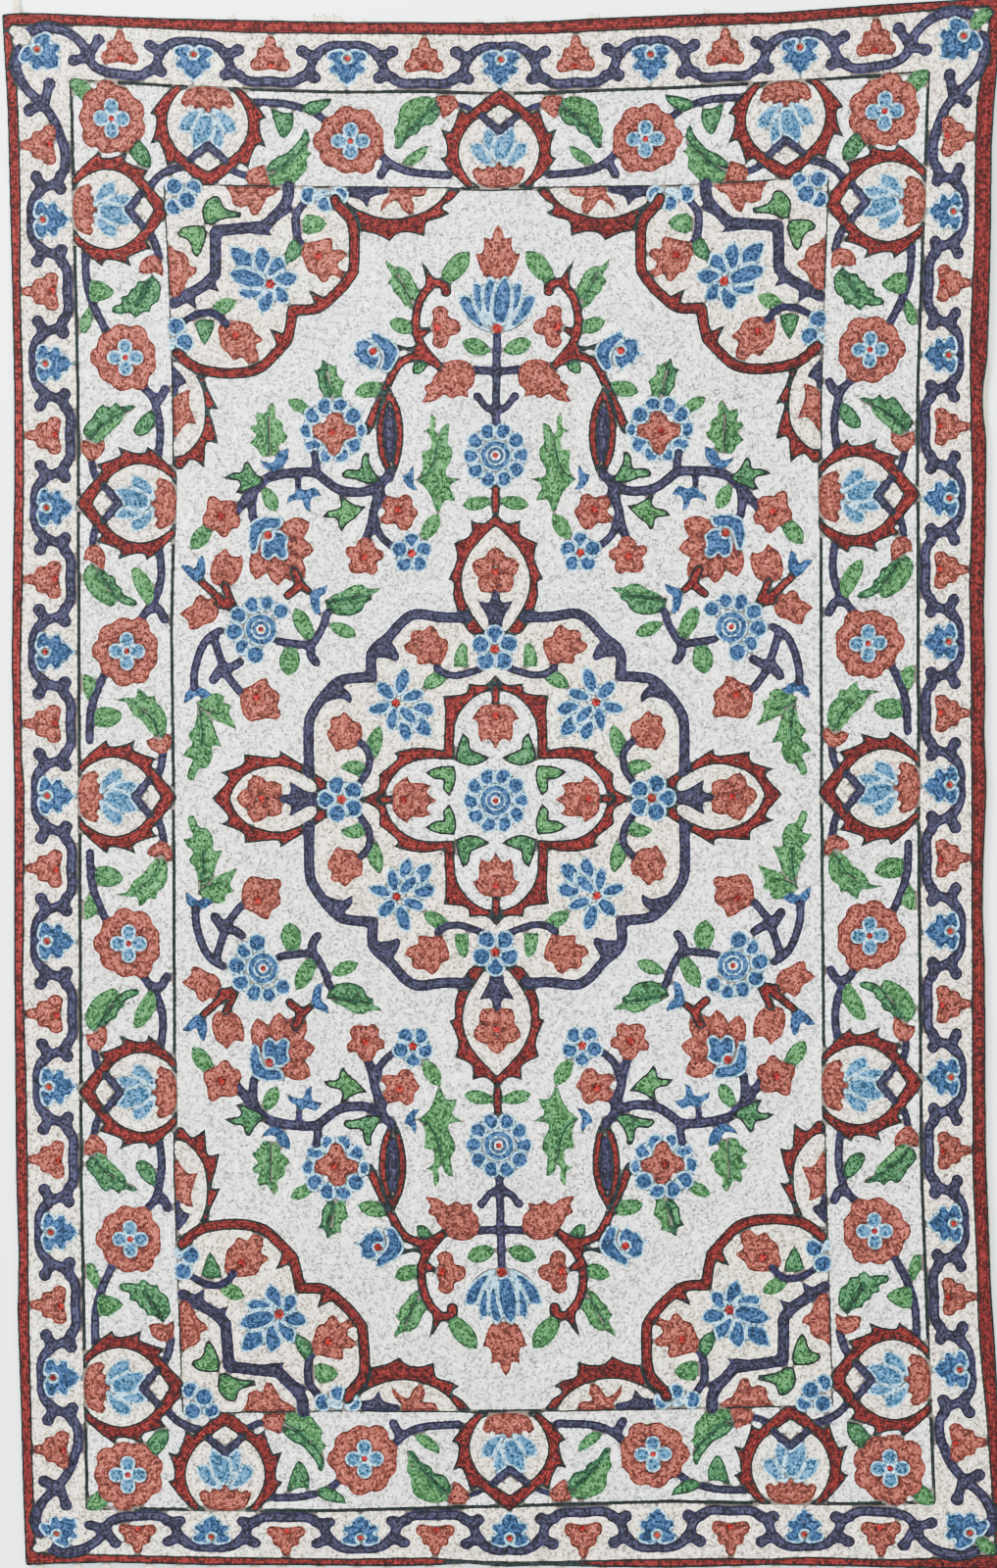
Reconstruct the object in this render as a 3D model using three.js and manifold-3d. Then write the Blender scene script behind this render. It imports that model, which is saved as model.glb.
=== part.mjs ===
// A chain stitch rug lying on a floor: an embroidered face cloth, a cotton backing cloth sewn under it,
// and a knotted cotton fringe at each end. The fringe at the top end is turned under the rug.
// Millimetres, +Z up, +Y towards the top end. The origin is on the backing's flat underside.

import * as THREE from "three";
import { mergeVertices } from "three/addons/utils/BufferGeometryUtils.js";
import Module from "manifold-3d";

const wasm = await Module();
wasm.setup();

// Cloth
const FACE_THICK = 3.0;
const BACKING_THICK = 1.0;
const GAP = 0.3;
const SHEET_COLUMNS = 20;
const BACKING_INSET_SIDE = 3;
const BACKING_INSET_END = 7;

// Fringe
const STRIP_WIDTH = 5;
const STRIP_FROM_EDGE = 1;
const STRAND_THICK = 2.2;
const STRAND_WIDTH = 2.6;
const STRAND_LENGTH = 46;
const NECK_WIDTH = 6;
const KNOT_LENGTH = 9;
const KNOT_HEIGHT = 4.4;
const LOCKS_OUT = 4;
const LOCKS_UNDER = 3;

// The turned-under fringe lifts the top end by one strand, and the lift runs out into the rug.
const END_LIFT = STRAND_THICK + GAP + 0.2;
const END_LIFT_FULL = 64;
const END_LIFT_RUNOUT = 40;

// Outline of the face cloth, as uneven as the hand-made rug is
const topEdge = { across: "x", columns: ["x", "y"], stations: [
  [-466.5, 722], [-450, 724], [-367, 721], [-312, 719], [-233.5, 717], [-155.5, 715.5],
  [-72.5, 715], [-8.5, 714.5], [47, 716], [83.5, 718.5], [139, 721], [203.5, 723.5],
  [258.5, 724], [309, 728], [364.5, 732], [419.5, 735.5], [471, 739],
] };
const bottomEdge = { across: "x", columns: ["x", "y"], stations: [
  [-444.5, -733.5], [-413, -732.5], [-367, -731.5], [-321, -732.5], [-270.5, -734],
  [-178.5, -734], [-105, -735], [-31.5, -732], [5.5, -735.5], [74.5, -733.5], [134.5, -735],
  [212.5, -735.5], [254, -733.5], [290.5, -733], [327.5, -735], [471, -738],
] };
const leftEdge = { across: "y", columns: ["y", "x"], stations: [
  [-733.5, -444.5], [-662.5, -447], [-589, -449], [-497, -452], [-441.5, -451.5],
  [-331, -453.5], [-165.5, -455.5], [0, -455], [110.5, -457.5], [165.5, -457],
  [276, -455.5], [368, -455.5], [460, -457], [552, -460], [644, -462], [722, -466.5],
] };
const rightEdge = { across: "y", columns: ["y", "x"], stations: [
  [-738, 471], [-644, 471], [-579.5, 468.5], [-529, 466], [-469, 462], [-414, 460],
  [-345, 457], [-165.5, 456.5], [-119.5, 454], [-73.5, 455], [0, 458], [101, 457],
  [165.5, 455.5], [239, 457], [326.5, 457.5], [349.5, 454.5], [372.5, 454.5],
  [395.5, 458.5], [451, 460.5], [529, 462.5], [598, 463], [644, 465.5], [739, 471],
] };

// How far the backing shows past the face cloth's right edge
const backingShows = { across: "y", columns: ["y", "past_edge"], stations: [
  [-738, -3], [-560, 0.5], [-460, 1], [-420, 2], [-340, 1.5], [-150, 1.5], [-60, 1.5],
  [0, 1.5], [90, 2], [320, 1], [335, 3.5], [385, 5], [400, 1.5], [520, 0.5], [739, -3],
] };

// Rows of the cloth's grid, as shares of the length, closer where the top end rises
const SHEET_ROWS = [
  0, 0.02, 0.05, 0.09, 0.13, 0.17, 0.21, 0.25, 0.3, 0.35, 0.4, 0.45, 0.49, 0.53, 0.58, 0.63,
  0.68, 0.725, 0.742, 0.758, 0.79, 0.83, 0.87, 0.9, 0.925, 0.94, 0.952, 0.963, 0.982, 1,
];

// Soft ridges that the cloth keeps from being folded and handled
const ridges = [
  { name: "left diagonal", x: -300, y: -455, turn: -49, length: 420, width: 60, height: 3 },
  { name: "bottom left", x: -230, y: -672, turn: -2, length: 430, width: 52, height: 2.6 },
  { name: "bottom right", x: 320, y: -668, turn: 4, length: 300, width: 52, height: 2 },
  { name: "right side", x: 415, y: -390, turn: -90, length: 330, width: 46, height: 2 },
  { name: "top right", x: 395, y: 560, turn: 62, length: 190, width: 55, height: 2 },
];

// The turned-under fringe shows as humps above the top edge: place, width and reach past the edge
const humps = [
  { x: -252, width: 8, reach: 3 },
  { x: -212, width: 8, reach: 2.5 },
  { x: -162, width: 28, reach: 6.5 },
  { x: -127, width: 5, reach: 3 },
  { x: -20, width: 9, reach: 3.5 },
  { x: 9, width: 9, reach: 5 },
  { x: 88, width: 12, reach: 4.5 },
  { x: 196, width: 11, reach: 3.5 },
];

// Tassels of the bottom end, left to right: place along the edge and slant of the tassel in degrees
const TASSEL_COUNT = 28;
const TASSEL_MARGIN = 14;
const TASSEL_PITCH_SWAY = 4;
const TASSEL_SLANT_SWAY = 7;
const CORNER_TASSEL = { x: -452, slant: 6 };

// Value of an edge table at a place along it, by straight lines between its stations
function along(table, place) {
  const rows = table.stations;
  let i = 1;
  while (i < rows.length - 1 && rows[i][0] < place) i += 1;
  const [a, va] = rows[i - 1];
  const [b, vb] = rows[i];
  const share = Math.min(1, Math.max(0, (place - a) / (b - a)));
  return va + (vb - va) * share;
}

function blend(a, b, share) {
  return a + (b - a) * share;
}

function smooth(share) {
  const s = Math.min(1, Math.max(0, share));
  return s * s * (3 - 2 * s);
}

const CORNERS = {
  topLeft: topEdge.stations.at(0),
  topRight: topEdge.stations.at(-1),
  bottomLeft: bottomEdge.stations.at(0),
  bottomRight: bottomEdge.stations.at(-1),
};

// Plan position of the cloth: u runs from the left edge to the right, v from the bottom to the top
function plan(u, v) {
  const { topLeft, topRight, bottomLeft, bottomRight } = CORNERS;
  const leftY = blend(bottomLeft[1], topLeft[1], v);
  const rightY = blend(bottomRight[1], topRight[1], v);
  const lowX = blend(bottomLeft[0], bottomRight[0], u);
  const highX = blend(topLeft[0], topRight[0], u);
  const left = [along(leftEdge, leftY), leftY];
  const right = [along(rightEdge, rightY), rightY];
  const low = [lowX, along(bottomEdge, lowX)];
  const high = [highX, along(topEdge, highX)];
  return [0, 1].map((k) => {
    const sides = blend(left[k], right[k], u);
    const ends = blend(low[k], high[k], v);
    const corners = blend(
      blend(bottomLeft[k], bottomRight[k], u),
      blend(topLeft[k], topRight[k], u),
      v,
    );
    return sides + ends - corners;
  });
}

// Height of a soft ridge at a place, nothing outside its own width and length
function ridgeHeight(ridge, x, y) {
  const turn = THREE.MathUtils.degToRad(ridge.turn);
  const dx = x - ridge.x;
  const dy = y - ridge.y;
  const lengthwise = (dx * Math.cos(turn) + dy * Math.sin(turn)) / (ridge.length / 2);
  const crosswise = (dy * Math.cos(turn) - dx * Math.sin(turn)) / ridge.width;
  const window = (q) => (Math.abs(q) < 1 ? (1 - q * q) ** 2 : 0);
  return ridge.height * window(lengthwise) * window(crosswise);
}

// How far the cloth's underside is off the floor
function lift(x, y) {
  const inFromTop = along(topEdge, x) - y;
  const end = END_LIFT * (1 - smooth((inFromTop - END_LIFT_FULL) / END_LIFT_RUNOUT));
  return ridges.reduce((sum, ridge) => sum + ridgeHeight(ridge, x, y), end);
}

// A box with a grid of faces, its vertices shared, each moved by place(u, v, w) with u, v, w in 0..1
function movedBox(columns, rows, place) {
  const box = new THREE.BoxGeometry(1, 1, 1, columns, rows, 1);
  const shaped = box.deleteAttribute("normal").deleteAttribute("uv");
  const geometry = mergeVertices(shaped);
  const points = geometry.getAttribute("position");
  for (let i = 0; i < points.count; i += 1) {
    const [u, v, w] = [points.getX(i), points.getY(i), points.getZ(i)].map((q) => q + 0.5);
    points.setXYZ(i, ...place(u, v, w));
  }
  return geometry;
}

const LAST_ROW = SHEET_ROWS.length - 1;

function gridPoint(column, row) {
  const [x, y] = plan(column / SHEET_COLUMNS, SHEET_ROWS[row]);
  return [x, y, lift(x, y)];
}

// A sheet on the cloth's grid, both sides divided alike: pointAt(column, row) is its underside
function sheet(pointAt, thickness) {
  const columns = SHEET_COLUMNS + 1;
  const layer = columns * SHEET_ROWS.length;
  const positions = [];
  for (const rise of [0, thickness]) {
    for (let row = 0; row <= LAST_ROW; row += 1) {
      for (let column = 0; column < columns; column += 1) {
        const [x, y, z] = pointAt(column, row);
        positions.push(x, y, z + rise);
      }
    }
  }
  const index = [];
  for (let row = 0; row < LAST_ROW; row += 1) {
    for (let column = 0; column < SHEET_COLUMNS; column += 1) {
      const a = row * columns + column;
      const [b, c, d] = [a + 1, a + columns + 1, a + columns];
      index.push(a, c, b, a, d, c);
      index.push(...[a, b, c, a, c, d].map((i) => i + layer));
    }
  }
  const rim = [];
  for (let column = 0; column < SHEET_COLUMNS; column += 1) rim.push(column);
  for (let row = 0; row < LAST_ROW; row += 1) rim.push(row * columns + SHEET_COLUMNS);
  for (let column = SHEET_COLUMNS; column > 0; column -= 1) rim.push(LAST_ROW * columns + column);
  for (let row = LAST_ROW; row > 0; row -= 1) rim.push(row * columns);
  rim.forEach((p, i) => {
    const q = rim[(i + 1) % rim.length];
    index.push(p, q, q + layer, p, q + layer, p + layer);
  });
  const geometry = new THREE.BufferGeometry();
  geometry.setAttribute("position", new THREE.Float32BufferAttribute(positions, 3));
  geometry.setIndex(index);
  return geometry;
}

function faceCloth() {
  return sheet((column, row) => {
    const [x, y, z] = gridPoint(column, row);
    return [x, y, z + BACKING_THICK + GAP];
  }, FACE_THICK);
}

// The backing has the face cloth's own grid, with its outer ring drawn in along the grid's lines,
// so that the gap between the two cloths is even however they rise.
function backingCloth() {
  return sheet((column, row) => {
    const inner = [
      Math.min(SHEET_COLUMNS - 1, Math.max(1, column)),
      Math.min(LAST_ROW - 1, Math.max(1, row)),
    ];
    const edge = gridPoint(column, row);
    const sideways = gridPoint(inner[0], row);
    const endways = gridPoint(column, inner[1]);
    const point = [...edge];
    if (column !== inner[0]) {
      const shows = column === SHEET_COLUMNS ? along(backingShows, edge[1]) : -BACKING_INSET_SIDE;
      const share = -shows / Math.abs(sideways[0] - edge[0]);
      point[0] = blend(edge[0], sideways[0], share);
      point[2] = blend(edge[2], sideways[2], Math.max(0, share));
    }
    if (row !== inner[1]) {
      const share = BACKING_INSET_END / Math.abs(endways[1] - edge[1]);
      point[1] = blend(edge[1], endways[1], share);
      point[2] += blend(edge[2], endways[2], share) - edge[2];
    }
    return point;
  }, BACKING_THICK);
}

function solidOf(geometry) {
  return new wasm.Manifold(new wasm.Mesh({
    numProp: 3,
    vertProperties: new Float32Array(geometry.getAttribute("position").array),
    triVerts: new Uint32Array(geometry.index.array),
  }));
}

function geometryOf(solid) {
  const mesh = solid.getMesh();
  const geometry = new THREE.BufferGeometry();
  geometry.setAttribute("position", new THREE.BufferAttribute(mesh.vertProperties, mesh.numProp));
  geometry.setIndex(new THREE.BufferAttribute(mesh.triVerts, 1));
  return geometry;
}

// The narrow tape that the fringe's cords are knotted into, under the face cloth's edge
function headerStrip(edge, inward, low) {
  const first = edge.stations.at(0)[0] + STRIP_WIDTH;
  const last = edge.stations.at(-1)[0] - STRIP_WIDTH;
  return movedBox(SHEET_COLUMNS, 1, (u, v, w) => {
    const x = blend(first, last, u);
    const fromEdge = STRIP_FROM_EDGE + STRIP_WIDTH * (inward > 0 ? v : 1 - v);
    return [x, along(edge, x) + inward * fromEdge, low + w * BACKING_THICK];
  });
}

// A four-sided lock through a few sections, each with its place along the lock, half width,
// underside and top, starting at a point and running in a direction
function lock(start, degrees, sections) {
  const turn = THREE.MathUtils.degToRad(degrees);
  const ahead = [Math.cos(turn), Math.sin(turn)];
  return movedBox(sections.length - 1, 1, (u, v, w) => {
    const section = sections[Math.round(u * (sections.length - 1))];
    const side = (v - 0.5) * 2 * section.half;
    return [
      start[0] + ahead[0] * section.at - ahead[1] * side,
      start[1] + ahead[1] * section.at + ahead[0] * side,
      blend(section.low, section.high, w),
    ];
  });
}

// A tassel that lies outward on the floor: neck under the edge, knot, and locks fanned from it
function tasselOut(x, edge, outward, slant, stripLow) {
  const heading = 90 * outward + slant * outward;
  const root = [x, along(edge, x) - outward * (STRIP_FROM_EDGE + STRIP_WIDTH / 2)];
  const neckEnd = STRIP_FROM_EDGE + STRIP_WIDTH / 2 + 1;
  const neck = NECK_WIDTH / 2;
  const knotEnd = neckEnd + KNOT_LENGTH;
  const parts = [lock(root, heading, [
    { at: -1, half: neck, low: stripLow, high: stripLow + BACKING_THICK },
    { at: neckEnd, half: neck, low: stripLow, high: stripLow + BACKING_THICK },
    { at: neckEnd + 2, half: neck + 1.6, low: 0, high: KNOT_HEIGHT },
    { at: knotEnd - 2, half: neck + 1, low: 0, high: KNOT_HEIGHT },
    { at: knotEnd, half: neck - 0.5, low: 0, high: STRAND_THICK },
  ])];
  for (let i = 0; i < LOCKS_OUT; i += 1) {
    const fan = i - (LOCKS_OUT - 1) / 2;
    const length = STRAND_LENGTH + 3 * Math.sin(x + 2 * i);
    const turn = THREE.MathUtils.degToRad(heading);
    const side = fan * (STRAND_WIDTH - 0.9);
    const from = [
      root[0] + Math.cos(turn) * (knotEnd - 3) - Math.sin(turn) * side,
      root[1] + Math.sin(turn) * (knotEnd - 3) + Math.cos(turn) * side,
    ];
    parts.push(lock(from, heading + fan * 5, [
      { at: 0, half: STRAND_WIDTH / 2 - 0.35, low: 0.05, high: STRAND_THICK - 0.2 },
      { at: length * 0.5, half: STRAND_WIDTH / 2, low: 0, high: STRAND_THICK },
      { at: length, half: STRAND_WIDTH / 3, low: 0, high: STRAND_THICK * 0.7 },
    ]));
  }
  return parts;
}

// A tassel turned under the rug: a root below the strip and locks that run inward on the floor
function tasselUnder(x, edge, stripLow) {
  const stripMiddle = along(edge, x) - STRIP_FROM_EDGE - STRIP_WIDTH / 2;
  const rootHalf = STRIP_WIDTH / 2;
  const parts = [lock([x, stripMiddle], -90, [
    { at: -rootHalf, half: NECK_WIDTH / 2, low: 0, high: stripLow + BACKING_THICK / 2 },
    { at: rootHalf, half: NECK_WIDTH / 2, low: 0, high: stripLow + BACKING_THICK / 2 },
  ])];
  for (let i = 0; i < LOCKS_UNDER; i += 1) {
    const fan = i - (LOCKS_UNDER - 1) / 2;
    const length = STRAND_LENGTH + 3 * Math.sin(x + 2 * i);
    parts.push(lock([x + fan * (STRAND_WIDTH - 0.6), stripMiddle], -90 + fan * 5, [
      { at: 0, half: STRAND_WIDTH / 2 - 0.35, low: 0.05, high: STRAND_THICK - 0.2 },
      { at: length * 0.5, half: STRAND_WIDTH / 2, low: 0, high: STRAND_THICK },
      { at: length, half: STRAND_WIDTH / 3, low: 0, high: STRAND_THICK * 0.7 },
    ]));
  }
  return parts;
}

// A turned-under tassel's knot where it shows past the top edge
function hump(row, edge, stripLow) {
  const stripMiddle = along(edge, row.x) - STRIP_FROM_EDGE - STRIP_WIDTH / 2;
  const past = STRIP_FROM_EDGE + STRIP_WIDTH / 2;
  const half = row.width / 2;
  return lock([row.x, stripMiddle], 90, [
    { at: 0, half: half * 0.8, low: stripLow, high: stripLow + BACKING_THICK },
    { at: past + 0.6, half: half * 0.9, low: stripLow, high: stripLow + BACKING_THICK },
    { at: past + 0.8 + row.reach * 0.3, half, low: 0, high: stripLow + KNOT_HEIGHT },
    { at: past + row.reach * 0.8, half: half * 0.9, low: 0, high: stripLow + KNOT_HEIGHT * 0.8 },
    { at: past + row.reach, half: half * 0.5, low: 0.6, high: stripLow + KNOT_HEIGHT * 0.3 },
  ]);
}

function tasselPlaces(edge) {
  const first = edge.stations.at(0)[0] + TASSEL_MARGIN;
  const last = edge.stations.at(-1)[0] - TASSEL_MARGIN;
  return Array.from({ length: TASSEL_COUNT }, (_, i) => (
    blend(first, last, i / (TASSEL_COUNT - 1)) + TASSEL_PITCH_SWAY * Math.sin(2.4 * i)
  ));
}

function joined(parts) {
  return geometryOf(wasm.Manifold.union(parts.map(solidOf)));
}

function bottomFringe() {
  const parts = [headerStrip(bottomEdge, 1, 0)];
  tasselPlaces(bottomEdge).forEach((x, i) => {
    parts.push(...tasselOut(x, bottomEdge, -1, TASSEL_SLANT_SWAY * Math.sin(1.7 * i), 0));
  });
  return joined(parts);
}

function topFringe() {
  const parts = [headerStrip(topEdge, -1, END_LIFT)];
  tasselPlaces(topEdge).slice(1).forEach((x) => {
    parts.push(...tasselUnder(x, topEdge, END_LIFT));
  });
  humps.forEach((row) => parts.push(hump(row, topEdge, END_LIFT)));
  parts.push(...tasselOut(CORNER_TASSEL.x, topEdge, 1, CORNER_TASSEL.slant, END_LIFT));
  return joined(parts);
}

function cloth(name, geometry, color) {
  const material = new THREE.MeshStandardMaterial({ color, roughness: 0.95, metalness: 0 });
  const mesh = new THREE.Mesh(geometry, material);
  mesh.name = name;
  return mesh;
}

const rug = new THREE.Group();
rug.add(
  cloth("embroidered_face", faceCloth(), 0xe3d9ce),
  cloth("cotton_backing", backingCloth(), 0xdedacd),
  cloth("fringe_bottom", bottomFringe(), 0xd9d3c0),
  cloth("fringe_top", topFringe(), 0xd9d3c0),
);

export default rug;
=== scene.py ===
"""A chain stitch rug on a floor, seen from straight above: an embroidered face, a cotton backing
and a knotted cotton fringe at each end, the top one turned under."""

import math

import bpy
import numpy as np
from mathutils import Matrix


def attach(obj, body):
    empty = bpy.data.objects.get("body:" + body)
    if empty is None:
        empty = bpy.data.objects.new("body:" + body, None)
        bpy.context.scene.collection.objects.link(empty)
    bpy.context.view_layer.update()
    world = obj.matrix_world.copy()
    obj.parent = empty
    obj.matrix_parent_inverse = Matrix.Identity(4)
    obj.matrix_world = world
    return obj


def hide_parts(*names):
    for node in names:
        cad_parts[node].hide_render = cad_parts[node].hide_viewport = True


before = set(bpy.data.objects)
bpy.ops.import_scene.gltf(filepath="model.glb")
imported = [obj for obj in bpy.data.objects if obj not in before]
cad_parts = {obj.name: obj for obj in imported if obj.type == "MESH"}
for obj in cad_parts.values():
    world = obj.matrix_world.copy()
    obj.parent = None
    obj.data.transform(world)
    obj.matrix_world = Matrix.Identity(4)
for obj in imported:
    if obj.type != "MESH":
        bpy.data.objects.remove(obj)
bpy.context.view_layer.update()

# The chart: x to the right and y down, for an evenly drawn rug whose middle is at MIDDLE. Its unit is
# one pixel of the photo, which is 0.92 mm on the rug and half a row of stitches, so the places in
# this script are photo pixels that were read off. The warp below carries the even rug onto the
# rug as it was really stitched.
UNIT = 0.00092
PHOTO_HEIGHT = 1600
ROW = 2.0
MIDDLE = (508.0, 815.0)
ORIGIN = (509.0, 800.0)

# Lines of the border in the chart, from the rug's edge to its middle
LINES_X = (13, 24, 79, 178)
LINES_Y = (17, 31, 90, 190)

# Where the stitched lines really run: for each line the stations along it and its place there
REAL_X = {
    "edge left": ((15, 2), (50, 4), (100, 7), (200, 9.5), (300, 12), (400, 14), (500, 14), (620, 12),
                  (680, 11.5), (800, 14), (980, 14), (1200, 16), (1280, 18.5), (1340, 17.5),
                  (1440, 21), (1520, 23), (1598, 26)),
    "band left": ((27, 12.5), (50, 14.5), (100, 19), (200, 21.5), (300, 21.5), (400, 24.5), (500, 25),
                  (600, 23.5), (680, 22), (775, 23), (800, 25.5), (950, 25), (1000, 24), (1100, 27.5),
                  (1200, 29), (1300, 29.5), (1400, 31.5), (1500, 34), (1580, 37)),
    "guard left": ((83, 72.7), (200, 75), (400, 79.6), (800, 81), (1200, 83), (1539, 89)),
    "field left": ((189, 168.4), (280, 173), (400, 177), (500, 178), (640, 175), (800, 177),
                   (1200, 178.6), (1441, 187.5)),
    "middle": ((20, 512), (100, 510), (250, 508), (460, 505.5), (815, 505.5), (1100, 507),
               (1300, 512), (1490, 520), (1590, 520)),
    "field right": ((181, 844), (400, 837), (815, 838), (1200, 841.5), (1433, 848.4)),
    "guard right": ((74, 947), (400, 936), (815, 937), (1200, 940), (1533, 953)),
    "band right": ((9, 1008.6), (50, 1005.7), (100, 996), (150, 994), (250, 993), (350, 988.5),
                   (450, 990), (500, 991), (600, 988), (700, 990), (1200, 991.5), (1300, 996),
                   (1350, 997), (1400, 1001), (1450, 1006), (1500, 1009.5), (1550, 1013),
                   (1586, 1014.5)),
    "edge right": ((-3, 1021), (50, 1019), (100, 1015), (150, 1012), (225, 1011.5), (310, 1009.5),
                   (370, 1007.5), (395, 1003), (420, 1003), (445, 1006.5), (540, 1006), (620, 1004),
                   (690, 1005.5), (750, 1004.5), (800, 1007), (880, 1003.5), (930, 1002.7),
                   (980, 1005), (1175, 1006), (1250, 1009), (1310, 1011), (1375, 1015.5),
                   (1430, 1018.5), (1500, 1021), (1602, 1021)),
}
REAL_Y = {
    "edge top": ((2, 15), (20, 13), (60, 14), (110, 16.5), (170, 18.7), (255, 20.5), (340, 22.3),
                 (430, 22.7), (500, 23.3), (560, 21.5), (600, 19), (660, 16.5), (730, 13.7),
                 (790, 12.8), (845, 8.7), (905, 4.2), (965, 0.7), (1021, -3)),
    "band top": ((13, 27), (60, 27), (100, 28), (150, 30), (200, 32.5), (255, 35), (355, 36),
                 (420, 36), (495, 37), (560, 35.7), (600, 33.7), (660, 31), (700, 28.7), (765, 26),
                 (805, 25), (845, 21), (885, 18), (925, 14.5), (965, 11), (1009, 8)),
    "guard top": ((72, 83), (120, 84.5), (180, 88.5), (260, 92), (340, 94.5), (440, 94), (500, 96),
                  (560, 95), (620, 92.5), (690, 90), (805, 84), (947, 74)),
    "field top": ((168, 189), (280, 191), (420, 192), (500, 193.5), (560, 192), (620, 191),
                  (700, 190), (844, 181)),
    "middle": ((0, 811), (45, 812), (250, 815), (505, 817), (750, 813), (965, 801), (1017, 800)),
    "field bottom": ((187, 1441), (340, 1439), (510, 1440), (680, 1437), (848, 1433)),
    "guard bottom": ((89, 1539), (340, 1541), (510, 1537), (680, 1532), (850, 1534), (953, 1533)),
    "band bottom": ((40, 1583.7), (80, 1585), (160, 1587), (240, 1588.5), (355, 1590), (435, 1588.7),
                    (495, 1592.5), (530, 1593), (590, 1592), (650, 1590.5), (730, 1589.5),
                    (785, 1590), (825, 1588), (905, 1590.7), (965, 1588.7), (1011, 1586)),
    "edge bottom": ((26, 1597.5), (60, 1596), (110, 1595), (160, 1596), (215, 1597.7), (315, 1597.7),
                    (395, 1598.7), (440, 1598), (475, 1595.5), (515, 1599.3), (550, 1597.7),
                    (620, 1599.5), (690, 1600), (785, 1597.5), (865, 1598.7), (925, 1600.3),
                    (1021, 1602)),
}


def chart_lines(lines, middle):
    """The chart's line places on one axis: the four near lines, the middle and the four far ones."""
    return np.array([*lines, middle, *(2 * middle - q for q in reversed(lines))])


def follow(tables, places):
    """Each line's real place at the given places along it, one row a line."""
    return np.array([np.interp(places, *zip(*table)) for table in tables.values()])


def between(value, chart, real):
    """Carries chart values onto the real lines that belong to them, straight from line to line."""
    inner = np.clip(np.searchsorted(chart, value, side="right") - 1, 0, len(chart) - 2)
    share = (value - chart[inner]) / (chart[inner + 1] - chart[inner])
    pick = np.arange(len(value))
    return real[inner, pick] + share * (real[inner + 1, pick] - real[inner, pick])


def warp(points):
    """Chart points to the places where the rug really has them, still in chart units."""
    p = np.asarray(points, float).reshape(-1, 2)
    x_lines, y_lines = chart_lines(LINES_X, MIDDLE[0]), chart_lines(LINES_Y, MIDDLE[1])
    x, y = p[:, 0], p[:, 1]
    for _ in range(2):
        real_x = between(p[:, 0], x_lines, follow(REAL_X, y))
        y = between(p[:, 1], y_lines, follow(REAL_Y, x))
        x = real_x
        y = between(p[:, 1], y_lines, follow(REAL_Y, x))
    return np.stack([x, y], axis=1)


def metres(points):
    """Warped chart points to the rug's own frame."""
    p = np.asarray(points, float)
    return np.stack([(p[..., 0] - ORIGIN[0]) * UNIT, (ORIGIN[1] - p[..., 1]) * UNIT], axis=-1)


# Drawing: what is stitched is a list of pieces painted one over the other. A filled piece has rows
# that follow its outline, coloured from the outline inward. A line piece has rows side by side.
WORK = []


def smooth(points, closed=True, steps=5):
    """A soft curve through points. A point with a third value is a sharp corner."""
    sharp = np.array([len(q) > 2 for q in points])
    p = np.array([q[:2] for q in points], float)
    n = len(p)
    ahead = np.roll(p, -1, axis=0) - p
    behind = p - np.roll(p, 1, axis=0)
    tangent = (ahead + behind) / 2
    leave = np.where(sharp[:, None], ahead * 0.9, tangent)
    arrive = np.where(sharp[:, None], behind * 0.9, tangent)
    if not closed:
        leave[0], arrive[-1] = ahead[0], behind[-1]
    last = n if closed else n - 1
    t = (np.arange(steps) / steps)[None, :, None]
    a, b = p[:last, None], np.roll(p, -1, axis=0)[:last, None]
    m, k = leave[:last, None], np.roll(arrive, -1, axis=0)[:last, None]
    curve = (
        (2 * t**3 - 3 * t**2 + 1) * a + (t**3 - 2 * t**2 + t) * m
        + (3 * t**2 - 2 * t**3) * b + (t**3 - t**2) * k
    ).reshape(-1, 2)
    return curve if closed else np.vstack([curve, p[-1]])


def turned(points, centre, degrees=0.0, size=1.0):
    """Local points of a motif turned, sized and set on its centre."""
    p = np.array([q[:2] for q in points], float) * size
    a = math.radians(degrees)
    x = p[:, 0] * math.cos(a) - p[:, 1] * math.sin(a) + centre[0]
    y = p[:, 0] * math.sin(a) + p[:, 1] * math.cos(a) + centre[1]
    return [(u, v, *q[2:]) for u, v, q in zip(x, y, points)]


def halves(points):
    """A motif drawn by its right half, from top to bottom, and mirrored to the left."""
    left = [(-q[0], *q[1:]) for q in reversed(points) if abs(q[0]) > 1e-6]
    return [*points, *left]


def mirrored(points, across, down):
    """The same points in another quarter of the chart."""
    return [
        (2 * MIDDLE[0] - q[0] if across else q[0], 2 * MIDDLE[1] - q[1] if down else q[1], *q[2:])
        for q in points
    ]


QUARTERS = ((False, False), (True, False), (False, True), (True, True))
LEFT_RIGHT = ((False, False), (True, False))
TOP_BOTTOM = ((False, False), (False, True))
ONCE = ((False, False),)


def body(points, soft=True):
    """A filled shape of a piece, as its outline."""
    return ("body", points, soft)


def bar(points, width):
    """A round-ended shape of a piece, as its course and its width. Its course is always soft."""
    return ("bar", points, True, width)


def outline_of(shape, across, down):
    points = mirrored(shape[1], across, down)
    closed = shape[0] == "body"
    drawn = smooth(points, closed) if shape[2] else np.array([q[:2] for q in points], float)
    drawn = warp(drawn)
    return drawn if closed else line_outline(drawn, shape[3])


def stitch(shapes, rows, copies=ONCE):
    """A piece of one or more joined shapes, its rows following their common outline: rows names
    its yarns from the outline inward, the last one going on."""
    for across, down in copies:
        outlines = [outline_of(shape, across, down) for shape in shapes]
        WORK.append({"outlines": outlines, "course": None, "rows": rows})


def fill(points, rows, copies=ONCE, soft=True):
    stitch([body(points, soft)], rows, copies)


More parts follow.
